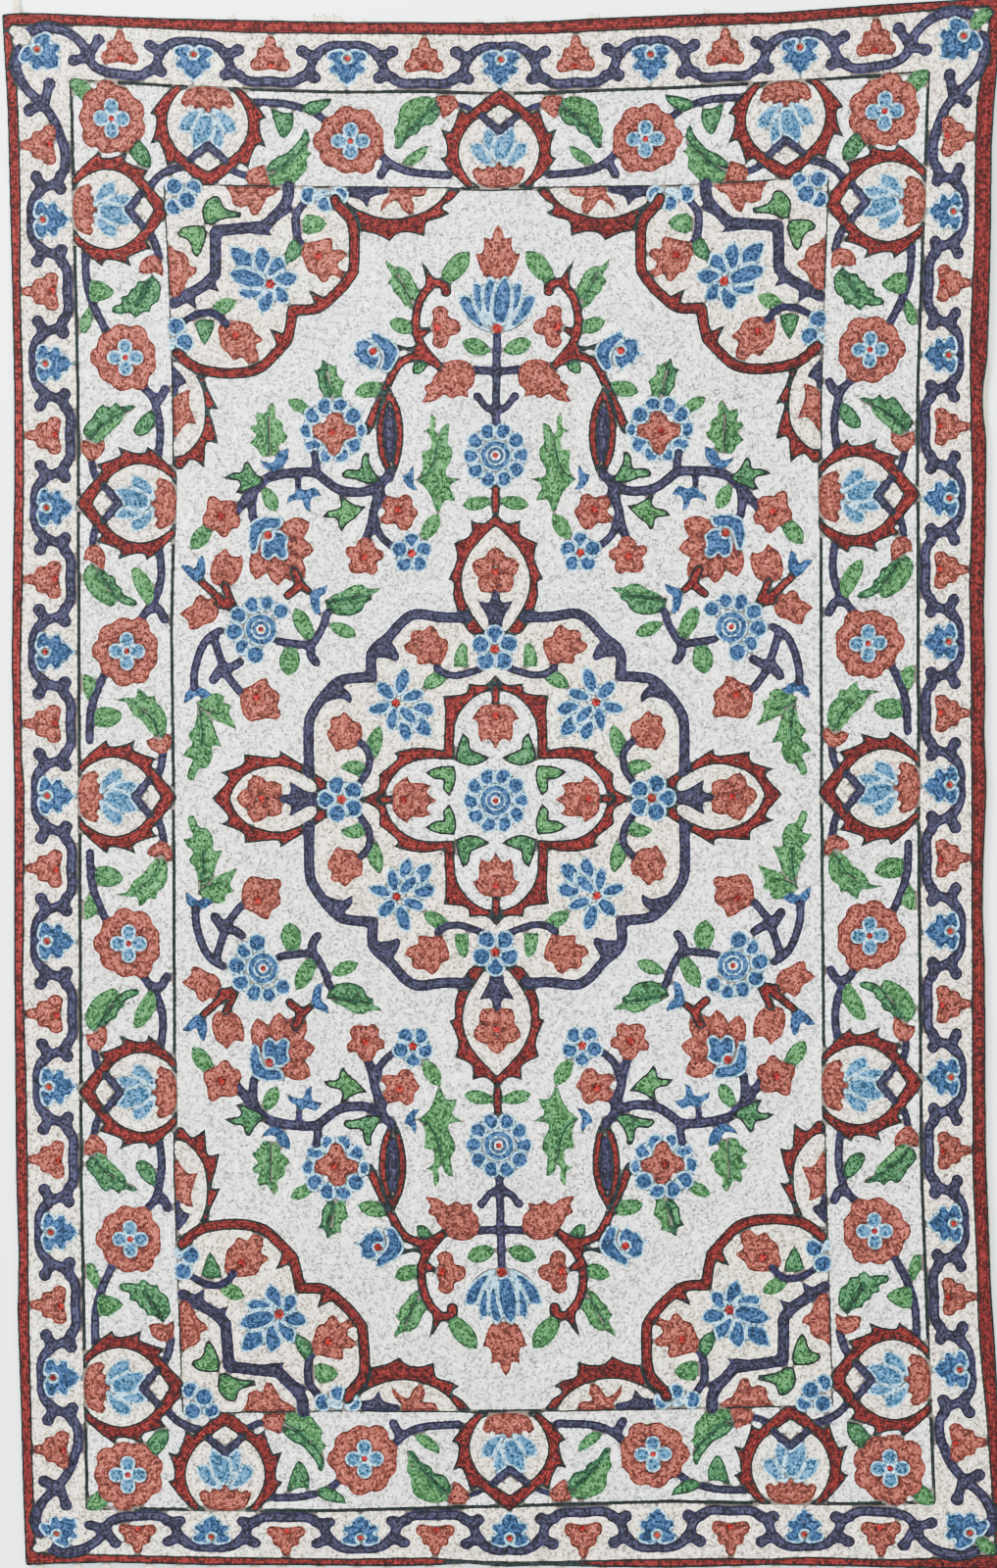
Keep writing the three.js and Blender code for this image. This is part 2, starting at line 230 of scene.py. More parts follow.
def line(points, rows, copies=ONCE, soft=True):
    """A line piece: rows names its yarns from one side to the other."""
    for across, down in copies:
        shape = mirrored(points, across, down)
        course = smooth(shape, closed=False) if soft else np.array([q[:2] for q in shape], float)
        course = warp(course)
        outlines = [line_outline(course, ROW * len(rows))]
        WORK.append({"outlines": outlines, "course": course, "rows": rows})


def evenly(course, step):
    """The same course with points an even step apart."""
    gaps = np.hypot(*np.diff(course, axis=0).T)
    run = np.concatenate([[0], np.cumsum(gaps)])
    count = max(2, int(round(run[-1] / step)) + 1)
    at = np.linspace(0, run[-1], count)
    return np.stack([np.interp(at, run, course[:, k]) for k in (0, 1)], axis=1)


def normals(course, closed=False):
    if closed:
        along = np.roll(course, -1, axis=0) - np.roll(course, 1, axis=0)
    else:
        along = np.gradient(course, axis=0)
    size = np.maximum(np.hypot(along[:, 0], along[:, 1]), 1e-9)[:, None]
    along = along / size
    return np.stack([-along[:, 1], along[:, 0]], axis=1)


def line_outline(course, width):
    """The round-ended outline of a line piece."""
    course = evenly(course, 1.0)
    side = normals(course) * width / 2
    start = math.atan2(*(side[0] / (width / 2))[::-1])
    stop = math.atan2(*(side[-1] / (width / 2))[::-1])
    half_turn = np.linspace(0, math.pi, 7)[1:-1]

    def cap(centre, first):
        angle = first - half_turn
        return centre + width / 2 * np.stack([np.cos(angle), np.sin(angle)], axis=1)

    return np.vstack([
        course + side, cap(course[-1], stop), (course - side)[::-1], cap(course[0], start + math.pi)
    ])


# The raster in which pieces cover one another
CELL = 0.5
LOW = (-6.0, -8.0)
CELLS = (2064, 3236)


def cells_inside(shape):
    """The raster window of a closed outline, and which of its cells lie inside."""
    p = (np.asarray(shape) - LOW) / CELL - 0.5
    first = np.maximum(np.floor(p.min(axis=0)).astype(int), 0)
    last = np.minimum(np.ceil(p.max(axis=0)).astype(int) + 1, CELLS)
    width, height = last - first
    if width <= 0 or height <= 0:
        return None
    a, b = p - first, np.roll(p, -1, axis=0) - first
    way = np.where(b[:, 1] > a[:, 1], 1, -1)
    low = np.where(way > 0, a[:, 1], b[:, 1])
    high = np.where(way > 0, b[:, 1], a[:, 1])
    from_row = np.clip(np.ceil(low), 0, height).astype(int)
    to_row = np.clip(np.ceil(high), 0, height).astype(int)
    counts = to_row - from_row
    side = np.repeat(np.arange(len(p)), counts)
    row = np.arange(counts.sum()) - np.repeat(np.cumsum(counts) - counts, counts) + from_row[side]
    share = (row - a[side, 1]) / (b[side, 1] - a[side, 1])
    column = np.clip(np.ceil(a[side, 0] + share * (b[side, 0] - a[side, 0])), 0, width).astype(int)
    turns = np.zeros((height, width + 1), np.int32)
    np.add.at(turns, (row, column), way[side])
    return first, last, np.cumsum(turns, axis=1)[:, :-1] != 0


def paint():
    """Which piece of work shows in each cell of the raster."""
    owner = np.full((CELLS[1], CELLS[0]), -1, np.int16)
    for number, piece in enumerate(WORK):
        for outline in piece["outlines"]:
            found = cells_inside(outline)
            if found is None:
                continue
            first, last, inside = found
            owner[first[1]:last[1], first[0]:last[0]][inside] = number
    return owner


def to_boundary(owner, reach):
    """How far each cell is from the nearest change of piece, in chart units, up to reach."""
    edge = np.zeros(owner.shape, bool)
    across = owner[:, 1:] != owner[:, :-1]
    down = owner[1:] != owner[:-1]
    edge[:, 1:] |= across
    edge[:, :-1] |= across
    edge[1:] |= down
    edge[:-1] |= down
    column = np.arange(owner.shape[1], dtype=np.float32)
    far = np.float32(4 * reach / CELL)
    before = np.maximum.accumulate(np.where(edge, column, -far), axis=1)
    after = np.minimum.accumulate(np.where(edge, column, column[-1] + far)[:, ::-1], axis=1)[:, ::-1]
    flat = np.minimum(column - before, after - column) ** 2
    nearest = flat.copy()
    for step in range(1, int(reach / CELL) + 1):
        square = np.float32(step * step)
        np.minimum(nearest[step:], flat[:-step] + square, out=nearest[step:])
        np.minimum(nearest[:-step], flat[step:] + square, out=nearest[:-step])
    distance = (np.sqrt(nearest) + 0.5) * CELL
    for axis in (0, 1, 0, 1):
        distance = np.moveaxis(distance, axis, 0)
        distance[1:-1] = (distance[:-2] + 2 * distance[1:-1] + distance[2:]) / 4
        distance = np.moveaxis(distance, 0, axis)
    return distance


def sample(grid, points):
    """Grid values at points, straight between cells."""
    p = (np.asarray(points) - LOW) / CELL - 0.5
    x = np.clip(p[..., 0], 0, grid.shape[1] - 1.001)
    y = np.clip(p[..., 1], 0, grid.shape[0] - 1.001)
    i, j = x.astype(int), y.astype(int)
    fx, fy = x - i, y - j
    return (
        grid[j, i] * (1 - fx) * (1 - fy) + grid[j, i + 1] * fx * (1 - fy)
        + grid[j + 1, i] * (1 - fx) * fy + grid[j + 1, i + 1] * fx * fy
    )


def shown(owner, points):
    """The piece of work that shows at each point."""
    p = np.floor((np.asarray(points) - LOW) / CELL).astype(int)
    i = np.clip(p[..., 0], 0, owner.shape[1] - 1)
    j = np.clip(p[..., 1], 0, owner.shape[0] - 1)
    return owner[j, i]


# Sides of a grid square that a level line joins, by which of its four corners lie above the level
# (1 top left, 2 top right, 4 bottom right, 8 bottom left). Sides: 0 top, 1 right, 2 bottom, 3 left.
SQUARES = {
    1: ((3, 0),), 2: ((0, 1),), 3: ((3, 1),), 4: ((1, 2),), 5: ((3, 0), (1, 2)), 6: ((0, 2),),
    7: ((3, 2),), 8: ((2, 3),), 9: ((2, 0),), 10: ((0, 1), (2, 3)), 11: ((2, 1),), 12: ((1, 3),),
    13: ((1, 0),), 14: ((0, 3),),
}


def level_lines(grid, step, level):
    """The lines along which the grid has a level, each a list of points in chart units."""
    g = grid[::step, ::step]
    height, width = g.shape
    above = g > level
    case = above[:-1, :-1] + 2 * above[:-1, 1:] + 4 * above[1:, 1:] + 8 * above[1:, :-1]
    ends = []
    for number, joins in SQUARES.items():
        j, i = np.nonzero(case == number)
        side = (j * width + i, height * width + j * width + i + 1,
                (j + 1) * width + i, height * width + j * width + i)
        ends += [np.stack([side[a], side[b]], axis=1) for a, b in joins]
    ends = np.concatenate(ends)
    if not len(ends):
        return []
    sides, joined = np.unique(ends, return_inverse=True)
    joined = joined.reshape(-1, 2)
    upright = sides >= height * width
    place = np.where(upright, sides - height * width, sides)
    j, i = place // width, place % width
    j2, i2 = j + upright, i + ~upright
    a, b = g[j, i], g[np.minimum(j2, height - 1), np.minimum(i2, width - 1)]
    share = np.clip((level - a) / np.where(a == b, 1, b - a), 0, 1)
    x = (i + share * (i2 - i)) * step
    y = (j + share * (j2 - j)) * step
    at = np.stack([(x + 0.5) * CELL + LOW[0], (y + 0.5) * CELL + LOW[1]], axis=1)
    links = np.full((len(sides), 2), -1)
    both = np.concatenate([joined, joined[:, ::-1]])
    order = np.argsort(both[:, 0], kind="stable")
    both = both[order]
    start = np.searchsorted(both[:, 0], np.arange(len(sides)))
    count = np.diff(np.append(start, len(both)))
    links[:, 0] = both[start, 1]
    more = count > 1
    links[more, 1] = both[start[more] + 1, 1]
    first, second = links[:, 0].tolist(), links[:, 1].tolist()
    seen = bytearray(len(sides))
    lines = []
    for begin in [*np.nonzero(~more)[0].tolist(), *range(len(sides))]:
        if seen[begin]:
            continue
        chain, here = [begin], begin
        seen[begin] = 1
        while True:
            following = first[here]
            if following < 0 or seen[following]:
                following = second[here]
                if following < 0 or seen[following]:
                    break
            seen[following] = 1
            chain.append(following)
            here = following
        closed = len(chain) > 3 and chain[0] in (first[here], second[here])
        lines.append((at[chain], closed))
    return lines


# Yarns, as sRGB colours
YARN = {
    "red": (0.30, 0.07, 0.065),
    "bright red": (0.46, 0.055, 0.055),
    "dark": (0.07, 0.10, 0.10),
    "night": (0.10, 0.09, 0.18),
    "violet": (0.135, 0.13, 0.195),
    "blue": (0.125, 0.235, 0.37),
    "sky": (0.19, 0.375, 0.51),
    "pale": (0.49, 0.70, 0.80),
    "brick": (0.36, 0.155, 0.125),
    "salmon": (0.465, 0.225, 0.185),
    "forest": (0.085, 0.21, 0.135),
    "green": (0.165, 0.335, 0.20),
    "leaf": (0.20, 0.385, 0.21),
    "beige": (0.98, 0.92, 0.83),
    "white": (0.99, 0.99, 0.96),
    "cream": (0.88, 0.86, 0.76),
}
OUTLINED_VIOLET = ["night", "violet"]
OUTLINED_RED = ["dark", "red"]
SALMON = ["brick", "salmon"]
BLUE = ["pale", "blue"]
SKY = ["pale", "sky"]

GUARD_MIDDLE = (51.5, 60.5)
GUARD_SIDE_DEPTH = 0.93
TOP_PITCH = 151.0
SIDE_PITCH = 147.5

GUARD_BLUE = halves([
    (0, -14, 1), (5, -17), (12, -16), (19, -13), (20, -6), (14, -2, 1), (19, 2), (17, 9), (10, 10, 1),
    (10, 15), (5, 18), (0, 24, 1),
])
GUARD_SALMON = halves([
    (0, -23), (5, -19), (6, -11, 1), (12, -10), (14, -4), (13, 0, 1), (18, 2), (20, 9), (16, 15),
    (7, 14), (0, 13),
])
HALF_WAVE = ((0, -18), (14, -18), (26, -13), (33, -3), (38, 9), (46, 17), (58, 21), (75.5, 20))
OUTER_KNOB = ((29, -8), (37, -8), (44, -12))
INNER_KNOB = ((46, 15), (39, 13), (32, 15))
SCROLL_WIDTH = 10.5
KNOB_RADIUS = 6.8
GUARD_EYE = (0.0, -7.0)


def disc(centre, radius, points=12):
    angle = np.arange(points) / points * 2 * math.pi
    return [(centre[0] + radius * math.cos(a), centre[1] + radius * math.sin(a)) for a in angle]


def box(low, high, step=12.0):
    """A rectangle with points along its sides, so that it can take on the rug's own unevenness."""
    (x0, y0), (x1, y1) = low, high
    across = np.linspace(x0, x1, int((x1 - x0) / step) + 1)
    down = np.linspace(y0, y1, int((y1 - y0) / step) + 1)
    return (
        [(x, y0) for x in across[:-1]] + [(x1, y) for y in down[:-1]]
        + [(x, y1) for x in across[:0:-1]] + [(x0, y) for y in down[:0:-1]]
    )


def far(near):
    """The opposite corner of a box that is centred on the chart's middle."""
    return 2 * MIDDLE[0] - near[0], 2 * MIDDLE[1] - near[1]


def grounds():
    corners = list(zip(LINES_X, LINES_Y))
    for corner, rows in zip(corners, (OUTLINED_RED, ["beige"], ["white"], ["white"])):
        fill(box(corner, far(corner)), rows, soft=False)
    for corner in corners[2:]:
        around = box(corner, far(corner))
        line([*around, around[0]], ["dark", "dark"], soft=False)


def guard_point(side, along, depth):
    """A place in the guard border: along it from its middle, and across it towards the field."""
    if side == "top":
        return MIDDLE[0] + along, GUARD_MIDDLE[1] + depth
    return GUARD_MIDDLE[0] + depth * GUARD_SIDE_DEPTH, MIDDLE[1] + along


def eyed(centre, degrees):
    """A red eye in a pale ring, set in a guard flower."""
    [(x, y)] = turned([GUARD_EYE], centre, degrees)
    fill(disc((x, y), 4.4), ["white"], QUARTERS)
    fill(disc((x, y), 3.0, 8), ["bright red"], QUARTERS)


def guard_border():
    sides = (
        ("top", TOP_PITCH, 3, 0.0, ((38, 38), (56, 33), (76, 38), (90, 49), (96, 61), (103, 73),
                                    (115, 79), (130.5, 80.5)), (108, 45), (82, 68), (97, 64)),
        ("left", SIDE_PITCH, 5, -90.0, ((29, 56), (25, 76), (32, 96), (46, 110), (58, 124),
                                        (65, 138), (70, 153.75)), (35, 118), (57, 93), (51, 112)),
    )
    for side, pitch, count, turn, corner, outer, inner, joint in sides:
        shapes = [bar(corner, SCROLL_WIDTH)]
        for knob in (outer, inner):
            shapes += [bar([joint, knob], SCROLL_WIDTH), body(disc(knob, KNOB_RADIUS))]
        for number in range(count):
            blue = -number * pitch
            for way in ((-1,) if number == 0 else (-1, 1)):
                def place(points):
                    return [guard_point(side, blue + way * a * pitch / TOP_PITCH, d)
                            for a, d in points]
                shapes.append(bar(place(HALF_WAVE), SCROLL_WIDTH))
                for knob in (OUTER_KNOB, INNER_KNOB):
                    shapes.append(bar(place(knob), SCROLL_WIDTH + 1))
                    shapes.append(body(disc(place(knob)[-1], KNOB_RADIUS)))
        stitch(shapes, OUTLINED_VIOLET, QUARTERS)
        for number in range(count):
            blue = guard_point(side, -number * pitch, 2)
            fill(turned(GUARD_BLUE, blue, turn), BLUE, QUARTERS)
            eyed(blue, turn)
            salmon = guard_point(side, -(number + 0.5) * pitch, -5)
            fill(turned(GUARD_SALMON, salmon, turn), SALMON, QUARTERS)
            fill(disc(turned([(1, 9)], salmon, turn)[0], 3.4, 8), ["bright red"], QUARTERS)
    corner = (51, 61)
    fill(turned(GUARD_BLUE, corner, -45, 1.05), BLUE, QUARTERS)
    eyed(corner, -45)
    leaf = [(20, 36, 1), (26, 31), (37, 36), (41, 45), (37, 51, 1), (30, 49)]
    fill(leaf, ["cream"], TOP_BOTTOM)
    fill(leaf, ["green", "leaf"], ((True, False), (True, True)))


# The main border
CARTOUCHE = halves([
    (31, -37, 1), (41, -28), (49, -19), (59, -6, 1), (52, -4, 1), (52, 4), (54, 13), (59, 25, 1),
    (49, 21, 1), (46, 28), (43, 36), (40, 47, 1), (33, 41, 1), (27, 46), (15, 57), (0, 68, 1),
])
CARTOUCHE_INSIDE = halves([
    (14, -37, 1), (26, -30), (35, -17), (39.5, -1), (37, 14), (29, 28), (16, 39), (0, 50, 1),
])
LOTUS_BASE = halves([
    (0, -8, 1), (5, -16, 1), (11, -13), (16, -18, 1), (21, -14), (27, -18, 1), (24, -27), (16, -34),
    (0, -36),
])


def petal(base, degrees, length, width):
    """A pointed oval from its base, degrees clockwise from up."""
    shape = halves([
        (0, -length, 1), (width * 0.38, -length * 0.8), (width * 0.5, -length * 0.52),
        (width * 0.36, -length * 0.2), (0, 0, 1),
    ])
    return turned(shape, base, degrees)


def cartouche(centre, degrees, copies):
    """degrees turns the apex clockwise from down."""
    def put(points):
        return turned(points, centre, degrees)

    fill(put(CARTOUCHE), OUTLINED_RED, copies)
    fill(put(CARTOUCHE_INSIDE), ["beige"], copies)
    for angle, length, width in ((54, 39, 20), (17, 47, 21)):
        for way in (-1, 1):
            [base] = put([(way * 2, -13)])
            fill(petal(base, 180 + degrees + way * angle, length, width), SKY, copies)
    fill(put(LOTUS_BASE), SALMON, copies)
    chevron = put([(-16, 37), (-8, 30), (0, 23, 1), (8, 30), (16, 37)])
    stitch([bar(chevron, 8.5)], OUTLINED_VIOLET, copies)
    fill(put([(0, 30, 1), (7, 38, 1), (0, 46, 1), (-7, 38, 1)]), ["cream"], copies)


def lobed(centre, radius, lobes, depth):
    """A round flower outline with a notch between each two lobes, no lobe quite like another."""
    points = []
    for number in range(lobes):
        start = number * 2 * math.pi / lobes
        uneven = 1 + 0.05 * math.sin(centre[0] + centre[1] + 2.3 * number)
        for share, reach in ((0, 1 - depth), (0.2, 0.97), (0.5, 1.01), (0.8, 0.97)):
            a = start + share * 2 * math.pi / lobes
            far_out = radius * reach * (uneven if share else 1)
            point = (centre[0] + far_out * math.cos(a), centre[1] + far_out * math.sin(a))
            points.append((*point, 1) if share == 0 else point)
    return points


def rosette(centre, radius, copies):
    fill(lobed(centre, radius, 9, 0.1), SALMON, copies)
    petals = [body(disc((centre[0], centre[1]), radius * 0.27, 10))]
    for number in range(4):
        a = math.radians(90 * number)
        place = (centre[0] + radius * 0.33 * math.cos(a), centre[1] + radius * 0.33 * math.sin(a))
        petals.append(body(disc(place, radius * 0.215, 10)))
    stitch(petals, SKY, copies)
    fill(disc(centre, 3.4, 8), ["bright red"], copies)


def oval(base, tip, width, rows, copies=QUARTERS):
    """A plain pointed leaf."""
    dx, dy = tip[0] - base[0], tip[1] - base[1]
    fill(petal(base, math.degrees(math.atan2(dx, -dy)), math.hypot(dx, dy), width), rows, copies)


LIGHT_LEAF = ["leaf"]
MID_LEAF = ["green", "leaf"]
DEEP_LEAF = ["forest", "green"]


def main_border():
    for x, y, degrees, copies in (
        (220, 125, 0, QUARTERS), (508, 152, 180, TOP_BOTTOM),
        (114, 215, -90, QUARTERS), (144, 515, 90, QUARTERS), (114, 815, -90, LEFT_RIGHT),
    ):
        cartouche((x, y), degrees, copies)
    for x, y, radius in ((121, 125, 36), (361, 141, 36), (129, 366, 35), (130, 666, 36)):
        rosette((x, y), radius, QUARTERS)


def stem(points, width=8.0, rows=OUTLINED_VIOLET, copies=QUARTERS):
    stitch([bar(points, width)], rows, copies)


def forked(courses, rows=OUTLINED_VIOLET):
    """A stem of several joined courses, each with its own width."""
    stitch([bar(points, width) for points, width in courses], rows, QUARTERS)


def leaves_of_top_border():
    fill([(281, 107, 1), (294, 112), (305, 112, 1), (305, 125), (299, 137), (293, 139), (287, 128)],
         DEEP_LEAF, QUARTERS)
    fill([(312, 108, 1), (319, 101), (330, 98), (343, 96, 1), (339, 105), (327, 113), (319, 114)],
         DEEP_LEAF, QUARTERS)
    split_leaf(
        [(277, 176, 1), (280, 166), (289, 158), (298, 154), (306, 145), (312, 137), (315, 129),
         (319, 130), (320, 142), (310, 156), (296, 168)],
        [(277, 176, 1), (296, 168), (310, 156), (320, 142), (319, 151), (324, 154, 1), (318, 161),
         (319, 170), (313, 178), (305, 186), (286, 188), (279, 184)],
        [(280, 178), (294, 170), (306, 158)], DEEP_LEAF, MID_LEAF)
    fill([(258, 183), (260, 174), (268, 169), (276, 166, 1), (278, 176), (283, 188, 1),
          (262, 188, 1)], SALMON, QUARTERS)
    split_leaf(
        [(450, 100, 1), (437, 95), (422, 97), (411, 104), (408, 114), (408, 121, 1), (403, 130),
         (405, 138), (403, 149, 1), (414, 136), (430, 118)],
        [(450, 100, 1), (447, 116), (441, 124), (432, 126), (428, 133), (418, 138), (411, 149),
         (403, 149, 1), (414, 136), (430, 118)],
        [(446, 101), (432, 115), (418, 130)], MID_LEAF, DEEP_LEAF)
    fill([(444, 95, 1), (453, 93), (463, 94), (467, 101), (464, 108), (458, 114), (451, 118, 1),
          (449, 107)], SALMON, QUARTERS)
    fill([(411, 165, 1), (417, 156), (427, 149), (438, 145, 1), (437, 153), (431, 161),
          (422, 166)], MID_LEAF, QUARTERS)
    oval((79, 87), (102, 109), 18, MID_LEAF)
    oval((136, 140), (163, 173), 19, DEEP_LEAF)


def leaves_of_side_border():
    for points, rows in (
        ([(94, 290), (103, 287), (113, 292), (120, 299), (113, 306), (103, 309), (94, 307)],
         MID_LEAF),
        ([(91, 315), (96, 323), (94, 335), (88, 342), (83, 340), (83, 328)], MID_LEAF),
        ([(156, 420), (159, 428), (155, 440), (147, 446), (139, 446), (136, 440), (141, 430),
          (149, 422)], DEEP_LEAF),
        ([(134, 583), (141, 580), (151, 588), (158, 600), (158, 612), (152, 619), (144, 610),
          (137, 598)], LIGHT_LEAF),
        ([(84, 690), (95, 694), (97, 700), (93, 710), (88, 716), (84, 708)], LIGHT_LEAF),
        ([(96, 728), (104, 723), (116, 724), (125, 731), (120, 740), (108, 745), (96, 742)],
         MID_LEAF),
    ):
        fill(points, rows, QUARTERS)
    fill([(160, 281, 1), (168, 290), (168, 301), (165, 309), (158, 313, 1), (156, 320), (149, 320),
          (141, 326), (135, 320, 1), (127, 322), (116, 320), (118, 313), (127, 311, 1), (126, 304),
          (134, 302, 1), (136, 296), (142, 294, 1), (144, 288), (152, 287)], DEEP_LEAF, QUARTERS)
    line([(158, 288), (150, 300), (142, 312)], ["forest"], QUARTERS)
    split_leaf(
        [(92, 452, 1), (84, 444), (86, 435), (93, 428), (98, 419), (105, 413, 1), (111, 417),
         (118, 411, 1), (124, 416), (133, 414), (140, 416, 1), (124, 424), (106, 434)],
        [(92, 452, 1), (106, 434), (124, 424), (140, 416, 1), (135, 421), (128, 423, 1),
         (125, 431), (118, 438), (108, 447), (100, 453)],
        [(94, 448), (102, 438), (114, 430)], DEEP_LEAF, MID_LEAF)
    split_leaf(
        [(94, 576, 1), (86, 581), (84, 593), (89, 605), (98, 614), (112, 621), (118, 619, 1),
         (118, 612), (106, 598)],
        [(94, 576, 1), (105, 582), (111, 588, 1), (117, 590), (119, 598, 1), (125, 602),
         (125, 607, 1), (134, 611), (141, 615), (139, 620), (127, 619), (118, 612), (106, 598)],
        [(96, 580), (103, 592), (113, 604)], MID_LEAF, DEEP_LEAF)
    split_leaf(
        [(165, 756, 1), (160, 742), (154, 731), (145, 724), (130, 719), (114, 716, 1), (130, 713),
         (139, 714, 1), (141, 703, 1), (149, 708), (152, 713, 1), (159, 711), (161, 719, 1),
         (168, 724), (172, 735), (171, 747)],
        [(165, 756, 1), (153, 748), (146, 738), (136, 731), (130, 719), (145, 724), (154, 731),
         (160, 742)],
        [(163, 750), (155, 734), (144, 725)], MID_LEAF, LIGHT_LEAF)
    for cup in (
        [(145, 279, 1), (148, 268), (157, 262), (168, 264), (172, 275), (171, 284, 1), (162, 279),
         (153, 281)],
        [(83, 450, 1), (90, 452), (97, 455), (106, 450, 1), (107, 459), (101, 468), (92, 472),
         (86, 468), (82, 460)],
        [(84, 574, 1), (86, 563), (93, 558), (101, 559), (107, 567), (107, 578), (104, 584, 1),
         (97, 577), (90, 574)],
        [(149, 757, 1), (157, 754), (165, 757), (171, 749, 1), (176, 753), (175, 763), (168, 770),
         (159, 769), (152, 764)],
    ):
        fill(cup, SALMON, QUARTERS)


def border_greens():
    for points, width in (
        ([(338, 122), (325, 112), (308, 106), (290, 103), (264, 103)], 8.5),
        ([(196, 171), (180, 176), (168, 184), (158, 197)], 9),
        ([(240, 171), (252, 177), (262, 179)], 8),
        ([(464, 102), (474, 104), (484, 110)], 6),
        ([(152, 232), (163, 246), (168, 264)], 9),
        ([(90, 260), (91, 290), (97, 312), (110, 340)], 9),
        ([(92, 470), (95, 484), (102, 497)], 8),
        ([(98, 535), (94, 550), (94, 562)], 8),
        ([(105, 692), (97, 710), (91, 730), (90, 758)], 9),
        ([(168, 768), (165, 784), (158, 802)], 8.5),
    ):
        stem(points, width)
    forked([([(388, 151), (400, 164), (420, 173), (458, 176)], 9), ([(398, 164), (391, 177)], 10)])
    forked([([(146, 396), (156, 406), (161, 420), (164, 440), (162, 464)], 9),
            ([(155, 405), (164, 408), (169, 398)], 10)])
    forked([([(142, 636), (154, 622), (163, 605), (166, 585), (164, 564)], 9),
            ([(152, 624), (163, 622), (170, 633)], 10)])
    leaves_of_top_border()
    leaves_of_side_border()


def star(centre, radius, petals, width, rows=BLUE, copies=QUARTERS, degrees=0.0, eye=3.4):
    """A flower of separate pointed petals round a red eye."""
    for number in range(petals):
        fill(petal(centre, degrees + number * 360 / petals, radius, width), rows, copies)
    if eye:
        fill(disc(centre, eye, 8), ["bright red"], copies)


def ring(centre, radius, yarn, copies):
    """One row of stitches round a centre."""
    around = disc(centre, radius, 18)
    line([*around, around[0]], [yarn], copies, soft=False)


def daisy(centre, reach, petals, petal_radius, disc_radius, copies, ringed=True):
    """Round petals about a disc with pale rings and a red eye."""
    for number in range(petals):
        a = math.radians(number * 360 / petals)
        place = (centre[0] + reach * math.cos(a), centre[1] + reach * math.sin(a))
        fill(disc(place, petal_radius, 10), BLUE, copies)
    if ringed:
        fill(disc(centre, disc_radius, 16), ["blue"], copies)
        ring(centre, disc_radius - 0.8, "pale", copies)
        ring(centre, disc_radius * 0.56, "pale", copies)
        ring(centre, 4.0, "white", copies)
        fill(disc(centre, 2.9, 8), ["bright red"], copies)


def split_leaf(near, other, midrib, near_rows, other_rows):
    """A leaf in two halves, each in its own greens, and the dark rib between them."""
    fill(near, near_rows, QUARTERS)
    fill(other, other_rows, QUARTERS)
    line(midrib, ["forest"], QUARTERS)


